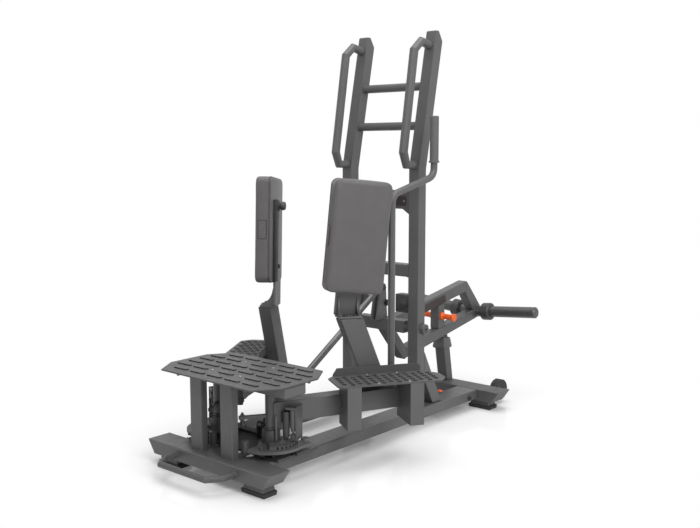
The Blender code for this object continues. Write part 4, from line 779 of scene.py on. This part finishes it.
def baseDetails():
    look = baseLook
    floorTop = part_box("front_crossbar")[1].z
    radius = look["studRadius"]
    stud = stackDrums(
        (radius + 0.0015, floorTop - 0.0005, floorTop + 0.003, 32, 0.001),
        (radius, floorTop, look["studTop"], 32, 0.0022),
    )
    studs = scatter(stud, mirrored(*look["studAt"], up))
    (nearX, farX), (near, far) = look["tabX"], look["tabDepths"]
    tabs = bmesh.new()
    for sign in signs:
        low = at(sign * nearX, near, floorTop - 0.0004)
        addBlock(tabs, low, at(sign * farX, far, floorTop + look["tabHeight"]), 0.001)
    finishPiece("stop_studs", mergeShapes([tabs, studs]), coated)
    pegs = mirrored(*look["pegAt"], up)
    rise = floorTop + look["pegRise"]
    drumPiece("rail_peg_seats", pegs, "frame", sleeved, (0.0115, floorTop - 0.0005, rise + 0.0002, 28, 0.001))
    drumPiece(
        "rail_peg_tops", pegs, "frame", ("orange_plastic", "orangePlastic"),
        (0.0112, rise, rise + 0.0037, 28, 0.0014), (0.008, rise + 0.0033, rise + 0.0062, 28, 0.0012),
    )
    places = mirrored(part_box("rail_right")[1].x, look["capDepth"], look["capZ"])
    cap = (look["capRadius"], -0.0005, look["capReach"], 28, 0.0022)
    drumPiece("rail_caps", places, "frame", bolted, cap)
    plateTop = floorTop + look["plateRise"]
    places = [mirrored(x, depth, plateTop, up) for depth in look["boltDepths"] for x in look["boltX"]]
    bolts = scatter(hexBolt(look["boltSize"]), sum(places, []))
    finishPiece("pivot_plate_bolts", bolts, bolted)


def wheelFrame(side, sign):
    # at the wheel's middle with local Z outwards, and half its width
    low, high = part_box(f"wheel_{side}")
    return facing((low + high) / 2.0, outward(sign)), (high.x - low.x) / 2.0


def wheelHubs():
    look = wheelLook
    for side, sign in sides:
        place, half = wheelFrame(side, sign)
        hub = stackDrums((look["hubRadius"], -half + 0.0052, half - 0.0048, 40, 0.001))
        near = (look["spokeInner"], -look["spokeHalf"], -half + 0.0035)
        far = (look["spokeOuter"], look["spokeHalf"], half - 0.0035)
        places = [turned(360.0 * count / look["spokes"]) for count in range(look["spokes"])]
        spokes = scatter(addBlock(bmesh.new(), near, far, 0.0008), places)
        hub = scatter(mergeShapes([hub, spokes]), [place])
        finishPiece(f"wheel_hub_{side}", hub, ("black_rubber", "darkBolt"), f"wheel_{side}")


def wheelTyres():
    # outer half of each tyre, round the axle's head
    look = wheelLook
    for side, sign in sides:
        place, half = wheelFrame(side, sign)
        outer = half + look["tyreReach"]
        tyre = ringShape(look["tyreInner"], look["tyreOuter"], half + 0.0002, outer, look["tyreRounding"])
        finishPiece(f"wheel_tyre_{side}", scatter(tyre, [place]), rubbered, f"wheel_{side}")


def restCap():
    # tapered cap round the rear post's buffer
    look = baseLook
    low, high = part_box("rest_buffer")
    middle = (low + high) / 2.0
    levels = (
        (look["restFoot"], low.z - 0.001), (look["restWaist"], low.z + 0.003),
        (look["restWaist"], low.z + 0.012), (look["restTop"], high.z - 0.014),
    )
    corners = ((-1.0, -1.0), (1.0, -1.0), (1.0, 1.0), (-1.0, 1.0))
    shape = bmesh.new()
    rows = [
        [shape.verts.new((middle.x + x * half, middle.y + y * half, z)) for x, y in corners]
        for half, z in levels
    ]
    joinRings(shape, rows)
    shape.faces.new(rows[0][::-1])
    shape.faces.new(rows[-1])
    bevelEdges(shape, list(shape.edges), 0.0015)
    finishPiece("rest_cap", shape, coated)


weldLook = {
    "size": 0.0019, "reach": 0.0026, "rounding": 0.0012, "feet": {"front_post": 0.03, "upright": 0.05},
    "rungRadius": 0.0174, "grabRadius": 0.0177, "grabZ": 1.072,
    "liftRadius": 0.011, "liftX": 0.152, "liftZ": 0.061,
}


def weldSeams():
    # low rounded collars of weld metal round the foot or end of each tube
    look = weldLook
    size, reach, rounding = look["size"], look["reach"], look["rounding"]
    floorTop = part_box("front_crossbar")[1].z
    shape = bmesh.new()
    for start, depth in look["feet"].items():
        for side, sign in sides:
            low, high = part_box(f"{start}_{side}")
            near = (low.x - size, low.y - size, floorTop - 0.0004)
            addBlock(shape, near, (high.x + size, low.y + depth + size, floorTop + reach), rounding)
    for side, sign in sides:
        low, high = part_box(f"rail_{side}")
        for end, step in ((low.y, 1.0), (high.y, -1.0)):
            near = (low.x - size, end - step * 0.0006, low.z - size)
            addBlock(shape, near, (high.x + size, end + step * reach, high.z + 0.001), rounding)
    low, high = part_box("cross_tube")
    for sign in signs:
        near = (sign * (high.x + 0.0006), low.y - size, low.z - size)
        addBlock(shape, near, (sign * (high.x - reach), high.y + size, high.z + size), rounding)
    rungs = []
    for name in ("rung_upper", "rung_lower"):
        middle, end = middleOf(name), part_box(name)[1].x + 0.0003
        rungs += [facing((sign * end, middle.y, middle.z), outward(-sign)) for sign in signs]
    grabs = []
    for side, sign in sides:
        spot = (middleOf(f"grab_handle_{side}").x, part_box(f"upright_{side}")[0].y, look["grabZ"])
        grabs.append(facing(spot, -rearward))
    lifts = mirrored(look["liftX"], 0.0, look["liftZ"], -rearward)
    parts = [shape]
    for radius, places in (("rungRadius", rungs), ("grabRadius", grabs), ("liftRadius", lifts)):
        parts.append(scatter(stackDrums((look[radius] + size, -0.0003, reach, 36, rounding)), places))
    finishPiece("weld_seams", mergeShapes(parts), coated)


baseDetails()
wheelHubs()
wheelTyres()
restCap()
weldSeams()
print("base done")


# uprights and weight arm: stop blocks, horn collars and ends, crank bolts, labels and the shaft

armLook = {
    "blockX": (0.086, 0.1494), "blockDepths": (0.947, 0.989), "blockZ": (0.476, 0.55),
    "capX": 0.129, "capZ": 0.515, "capRadius": 0.0185, "capReach": 0.016,
    "crankHalf": 0.0175, "crankBolts": ((0.955, 0.568, 0.0095), (0.9745, 0.502, 0.0115)),
    "shaftRadius": 0.0125, "axleCapRadius": 0.0205, "axleCapReach": 0.019,
}
labelLook = {
    "thickness": 0.0008, "corner": 0.004,
    "signLength": 0.276, "signHeight": 0.04, "signZ": 0.928, "screwX": 0.127, "screwSize": 0.0034,
    "armDepths": (1.18, 1.4), "armHeight": 0.034, "armRise": 10.1, "armEndZ": 0.47,
}
hornLook = {
    "tilt": 5.1, "length": 0.3147, "endRadius": 0.0195, "seamRadius": 0.0267,
    "collarInner": 0.026, "collarOuter": 0.04, "collarHalf": 0.0215, "collarRounding": 0.004,
}


def stopBlocks():
    look = armLook
    (nearX, farX), (front, back), (low, high) = look["blockX"], look["blockDepths"], look["blockZ"]
    radius, reach = look["capRadius"], look["capReach"]
    for side, sign in sides:
        block = addBlock(bmesh.new(), at(sign * nearX, front, low), at(sign * farX, back, high), 0.003)
        finishPiece(f"stop_block_{side}", block, shaded)
        place = facing(at(sign * look["capX"], front, look["capZ"]), -rearward)
        drumPiece(
            f"stop_cap_{side}", [place], "frame", shaded, (radius, -0.0005, reach, 36, 0.0026),
            (radius * 0.45, reach - 0.0005, reach + 0.0016, 24, 0.0008),
        )


def labelShape(length, height, thickness, corner):
    # flat plate in local XY with round corners, its face up
    x, y = length / 2.0, height / 2.0
    return slabShape((-x, -y, -0.0002), (x, y, thickness), 2, corner)


def bareLabels():
    look = labelLook
    thickness, corner = look["thickness"], look["corner"]
    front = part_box("sign_plate")[0].y
    plate = labelShape(look["signLength"], look["signHeight"], thickness, corner)
    plate = scatter(plate, [facing((0.0, front, look["signZ"]), -rearward)])
    finishPiece("sign_label", plate, labelled)
    spots = [(sign * look["screwX"], front - thickness, look["signZ"]) for sign in signs]
    screws = scatter(socketScrew(look["screwSize"]), [facing(spot, -rearward) for spot in spots])
    finishPiece("sign_screws", screws, screwed)
    near, far = look["armDepths"]
    middle = (near + far) / 2.0
    rise = math.radians(look["armRise"])
    z = look["armEndZ"] + (middle - far) * math.tan(rise)
    along = Vector((0.0, math.cos(rise), math.sin(rise)))
    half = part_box("weight_arm_upper")[1].x
    for side, sign in sides:
        plate = labelShape(far - near, look["armHeight"], thickness, corner)
        plate = scatter(plate, [rolled(facing(at(sign * half, middle, z), outward(sign)), along)])
        finishPiece(f"arm_label_{side}", plate, labelled, "weight_arm")


def weightAxle():
    # through shaft with a screwed cap at each end
    look = armLook
    radius, reach = look["axleCapRadius"], look["axleCapReach"]
    middle = middleOf("weight_axle")
    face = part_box("upright_right")[1].x
    shaft = stackDrums((look["shaftRadius"], -face - 0.001, face + 0.001, 32))
    ends = [facing((sign * face, middle.y, middle.z), outward(sign)) for sign in signs]
    caps = scatter(stackDrums((radius, 0.0002, reach, 40, 0.0026)), ends)
    shape = mergeShapes([scatter(shaft, [facing(middle, outward(1.0))]), caps])
    axle = finishPiece("weight_axle_shaft", shape, sleeved)
    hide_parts("weight_axle")
    spot = moveTo((radius * 0.62, 0.0, reach))
    screws = scatter(socketScrew(0.0024), [end @ turned(60.0 * i) @ spot for end in ends for i in range(6)])
    finishPiece("axle_cap_screws", screws, bolted)
    bolts = scatter(socketScrew(0.005), [end @ moveTo((0.0, 0.0, reach)) for end in ends])
    finishPiece("axle_cap_bolts", bolts, bolted)


def hornAxis(sign):
    tilt = math.radians(hornLook["tilt"])
    return Vector((sign * math.cos(tilt), 0.0, math.sin(tilt)))


def hornEnds():
    look = hornLook
    for side, sign in sides:
        axis, middle = hornAxis(sign), middleOf(f"horn_{side}")
        reach = axis * (look["length"] / 2.0)
        drumPiece(
            f"horn_end_{side}", [facing(middle + reach, axis)], "weight_arm", ("horn_sleeve", "coatedSteel"),
            (look["endRadius"], -0.0004, 0.001, 40, 0.0006), (0.0045, 0.0008, 0.0018, 24, 0.0005),
        )
        place = facing(middle - reach, axis)
        seam = (look["seamRadius"], 0.0004, 0.004, 40, 0.0014)
        drumPiece(f"horn_seam_{side}", [place], "weight_arm", coated, seam)


def hornCollars():
    look = hornLook
    inner, outer, half = look["collarInner"], look["collarOuter"], look["collarHalf"]
    for side, sign in sides:
        place = facing(middleOf(f"horn_stop_{side}"), hornAxis(sign))
        collar = scatter(ringShape(inner, outer, -half, half, look["collarRounding"]), [place])
        finishPiece(f"horn_collar_{side}", collar, moulded, "weight_arm")


def crankBolts():
    half = armLook["crankHalf"]
    bolts = [scatter(hexBolt(size), mirrored(half, depth, z)) for depth, z, size in armLook["crankBolts"]]
    finishPiece("crank_bolts", mergeShapes(bolts), bolted, "weight_arm")


stopBlocks()
hornCollars()
crankBolts()
bareLabels()
weightAxle()
hornEnds()
print("uprights and weight arm done")


# pads: pressed foam in a sewn cover, with a seam, a backing board and a bare tag

padSize = {
    "height": 0.41, "width": 0.22, "thickness": 0.063, "corner": 0.025,
    "board": 0.006, "boardInset": 0.005, "edge": 0.006, "bottom": 0.616, "shift": 0.004,
    "voxel": 0.0045, "pressure": 1.6, "stiffness": 40.0, "bending": 2.0, "frames": 14,
    "swell": 0.0019, "inset": 0.0011, "seamRadius": 0.0013, "seamSides": 8,
    "tagHeight": 0.073, "tagWidth": 0.034, "tagRim": 0.0025,
}


def padSlab(width, height, low, high, corner, segments=8):
    # slab with its thickness along local X and round corners, front face towards +X
    y, z = width / 2.0, height / 2.0
    return slabShape((low, -y, -z), (high, y, z), 0, corner, segments)


def bakeModifiers(piece):
    graph = bpy.context.evaluated_depsgraph_get()
    mesh = bpy.data.meshes.new_from_object(piece.evaluated_get(graph))
    piece.modifiers.clear()
    return mesh


def swellCover(piece, look):
    # remeshes the block, blows it up a little as cloth and caps how far a point may move
    bpy.context.view_layer.objects.active = piece
    adjust(piece.modifiers.new("remesh", "REMESH"), mode="VOXEL", voxel_size=look["voxel"])
    piece.data = bakeModifiers(piece)
    start = [vert.co.copy() for vert in piece.data.vertices]
    back = min(point.x for point in start)
    held = piece.vertex_groups.new(name="held")
    for index, point in enumerate(start):
        share = max(0.0, min(1.0, 1.0 - (point.x - back - 0.004) / 0.012))
        held.add([index], share, "REPLACE")
    cloth = piece.modifiers.new("cover", "CLOTH")
    adjust(
        cloth.settings, use_pressure=True, uniform_pressure_force=look["pressure"],
        vertex_group_mass="held", tension_stiffness=look["stiffness"],
        compression_stiffness=look["stiffness"], bending_stiffness=look["bending"],
    )
    cloth.settings.effector_weights.gravity = 0.0
    adjust(cloth.point_cache, frame_start=1, frame_end=look["frames"])
    for step in range(1, look["frames"] + 1):
        bpy.context.scene.frame_set(step)
    blown = bakeModifiers(piece)
    for vert, point in zip(blown.vertices, start):
        move = vert.co - point
        if move.length > look["swell"]:
            vert.co = point + move.normalized() * look["swell"]
    piece.data = blown
    bpy.context.scene.frame_set(1)


def makePad(side, sign):
    look = padSize
    half, shrink = look["thickness"] / 2.0, look["inset"]
    centre = (
        sign * (bracketLook["bladeFront"] + bracketLook["bladeGap"] + half), look["shift"],
        look["bottom"] - bracketLook["z"] + look["height"] / 2.0,
    )
    settle = padFrame(side, sign) @ moveTo(centre) @ turned(0.0 if sign > 0.0 else 180.0)
    width, height, front = look["width"] - 2.0 * shrink, look["height"] - 2.0 * shrink, half - shrink - 0.0012
    shape = padSlab(width, height, -half + look["board"] - 0.0006, front, look["corner"])
    roundRim(shape, front, look["edge"], 4)
    bmesh.ops.recalc_face_normals(shape, faces=shape.faces)
    cushion = makeObject(f"cushion_{side}", shape)
    swellCover(cushion, look)
    shape = bmesh.new()
    shape.from_mesh(cushion.data)
    for turn in range(2):
        bmesh.ops.smooth_vert(
            shape, verts=shape.verts, factor=0.5, use_axis_x=True, use_axis_y=True, use_axis_z=True
        )
    bmesh.ops.transform(shape, matrix=settle, verts=shape.verts)
    bmesh.ops.recalc_face_normals(shape, faces=shape.faces)
    shape.to_mesh(cushion.data)
    shape.free()
    cushion.data.materials.clear()
    cushion.data.materials.append(finishes["padVinyl"])
    cushion.data.shade_smooth()
    adjust(cushion.modifiers.new("finer", "SUBSURF"), levels=1, render_levels=1)
    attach(cushion, f"lever_{side}")
    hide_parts(f"pad_{side}")
    padBack(side, settle)
    padSeam(side, settle)
    padTag(side, sign, settle)


def padBack(side, settle):
    look, inset = padSize, padSize["boardInset"]
    width, height = (look[key] - 2.0 * inset for key in ("width", "height"))
    back = -look["thickness"] / 2.0 + 0.0001
    shape = padSlab(width, height, back, back + look["board"] - 0.0001, look["corner"] - inset * 0.5)
    roundRim(shape, back, 0.0016, 3)
    finishPiece(f"pad_board_{side}", scatter(shape, [settle]), ("pad_cover", "padVinyl"), f"lever_{side}")


def padSeam(side, settle):
    # piping that follows the cover's back edge
    look = padSize
    middle = -look["thickness"] / 2.0 + look["board"]
    width = look["width"] / 2.0 - look["inset"] - 0.0004
    height = look["height"] / 2.0 - look["inset"] - 0.0004
    outline = padSlab(2.0 * width, 2.0 * height, middle - 0.0005, middle + 0.0008, look["corner"], 10)
    ring = [vert.co.copy() for vert in outline.verts if vert.co.x > middle]
    outline.free()
    ring.sort(key=lambda point: math.atan2(point.z / height, point.y / width))
    angles = [2.0 * math.pi * turn / look["seamSides"] for turn in range(look["seamSides"])]
    shape = bmesh.new()
    rows = []
    for index, point in enumerate(ring):
        before, after = ring[index - 1], ring[(index + 1) % len(ring)]
        across = (after - before).normalized().cross(outward(1.0)).normalized()
        point.x = middle + 0.0002
        offsets = [outward(math.sin(angle)) + across * math.cos(angle) for angle in angles]
        rows.append([shape.verts.new(point + offset * look["seamRadius"]) for offset in offsets])
    joinRings(shape, rows + rows[:1])
    shape = scatter(shape, [settle])
    finishPiece(f"pad_piping_{side}", shape, ("pad_cover", "seamVinyl"), f"lever_{side}", 60.0)


def padTag(side, sign, settle):
    # bare sewn-on tag with a dark rim on the narrow side that faces the front of the machine
    look = padSize
    height, width, rim = look["tagHeight"], look["tagWidth"], look["tagRim"]
    front = Vector((0.0, -sign * (look["width"] / 2.0 + 0.0002), 0.0))
    under = labelShape(height, width, 0.001, 0.003)
    face = labelShape(height - 2.0 * rim, width - 2.0 * rim, 0.0014, 0.002)
    for part in face.faces:
        part.material_index = 1
    shape = scatter(mergeShapes([under, face]), [settle @ rolled(facing(front, front), up)])
    finishPiece(f"pad_tag_{side}", shape, ("pad_cover", "labelPlate", "padVinyl"), f"lever_{side}")


for side, sign in sides:
    makePad(side, sign)
print("pads done")


# camera, lights, floor and background

cameraLook = {
    "x": 2.355, "depth": -1.98, "z": 1.125, "azimuth": 40.636, "down": 6.992,
    "focalPixels": 918.204, "imageWidth": 700.0, "sensor": 36.0,
}
lightLooks = {
    "keyLight": {"place": (3.75, -1.65, 3.2), "size": 2.2, "watts": 108.0},
    "topLight": {"place": (0.3, -0.2, 5.0), "size": 5.0, "watts": 205.0},
}
stageLook = {
    "worldLight": 0.28, "floorColour": 0.97, "floorGlow": 0.045, "floorSize": 30.0,
    "halfWidth": 0.3, "halfLength": 0.8, "fadeFrom": -0.1, "fadeTo": 0.5,
    "mirror": 0.13, "mirrorRoughness": 0.12, "aim": (0.0, 0.0, 0.6),
}


def makeCamera():
    look = cameraLook
    camera = linkObject("camera", bpy.data.cameras.new("camera"))
    lens = look["focalPixels"] * look["sensor"] / look["imageWidth"]
    adjust(camera.data, sensor_width=look["sensor"], lens=lens, clip_start=0.05, clip_end=60.0)
    camera.location = at(look["x"], look["depth"], look["z"])
    camera.rotation_euler = (math.radians(90.0 - look["down"]), 0.0, math.radians(look["azimuth"]))
    bpy.context.scene.camera = camera


def makeLights():
    for name, look in lightLooks.items():
        lamp = linkObject(name, bpy.data.lights.new(name, "AREA"))
        adjust(lamp.data, shape="SQUARE", size=look["size"], energy=look["watts"])
        lamp.location = look["place"]
        aim = Vector(stageLook["aim"]) - lamp.location
        lamp.rotation_euler = aim.to_track_quat("-Z", "Y").to_euler()


def addMath(tree, operation, *inputs, kind="Math"):
    return addNode(tree, kind, dict(enumerate(inputs)), operation=operation)


def seenRays(tree):
    # 1 for rays from the camera, from glossy faces and through glass
    rays = addNode(tree, "LightPath").outputs
    seen = addMath(tree, "MAXIMUM", rays["Is Camera Ray"], rays["Is Glossy Ray"])
    return addMath(tree, "MAXIMUM", seen, rays["Is Transmission Ray"])


def makeWorld():
    world = bpy.data.worlds.new("studio")
    bpy.context.scene.world = world
    world.use_nodes = True
    tree = world.node_tree
    white = (1.0, 1.0, 1.0, 1.0)
    lit = setInputs(tree, tree.nodes["Background"], {"Color": white, "Strength": stageLook["worldLight"]})
    seen = addNode(tree, "Background", {"Color": white, "Strength": 1.0})
    mix = addNode(tree, "MixShader", {0: seenRays(tree), 1: lit, 2: seen})
    setInputs(tree, tree.nodes["World Output"], {"Surface": mix})


def makeFloor():
    # near the machine a matte floor with a faint mirror, farther out it fades to plain white
    look = stageLook
    material = bpy.data.materials.new("studioFloor")
    material.use_nodes = True
    tree = material.node_tree
    tree.nodes.remove(tree.nodes["Principled BSDF"])
    seen = seenRays(tree)
    shade = look["floorColour"]
    matte = addNode(tree, "BsdfDiffuse", {"Color": (shade, shade, shade, 1.0)})
    mirror = addNode(tree, "BsdfGlossy", {"Roughness": look["mirrorRoughness"]})
    polish = addNode(tree, "MixShader", {0: look["mirror"], 1: matte, 2: mirror})
    glow = addMath(tree, "MULTIPLY", seen, look["floorGlow"])
    glow = addNode(tree, "Emission", {"Strength": glow})
    lifted = addNode(tree, "AddShader", {0: polish, 1: glow})
    vectorMath = "VectorMath"
    place = addNode(tree, "TexCoord").outputs["Object"]
    place = addMath(tree, "ABSOLUTE", place, kind=vectorMath)
    half = (look["halfWidth"], look["halfLength"], 0.0)
    beyond = addMath(tree, "SUBTRACT", place, half, kind=vectorMath)
    beyond = addMath(tree, "MAXIMUM", beyond, (0.0, 0.0, 0.0), kind=vectorMath)
    far = addMath(tree, "LENGTH", beyond, kind=vectorMath).outputs["Value"]
    ends = {0: far, 1: look["fadeFrom"], 2: look["fadeTo"]}
    fade = addNode(tree, "MapRange", ends, interpolation_type="SMOOTHSTEP")
    share = addMath(tree, "MULTIPLY", fade, seen)
    white = addNode(tree, "Emission", {"Strength": 1.0})
    blend = addNode(tree, "MixShader", {0: share, 1: lifted, 2: white})
    setInputs(tree, tree.nodes["Material Output"], {"Surface": blend})
    shape = bmesh.new()
    bmesh.ops.create_grid(shape, x_segments=1, y_segments=1, size=look["floorSize"] / 2.0)
    floor = makeObject("studio_floor", shape)
    floor.data.materials.append(material)


makeCamera()
makeLights()
makeWorld()
makeFloor()
bpy.context.scene.view_settings.view_transform = "Standard"
print("studio done")
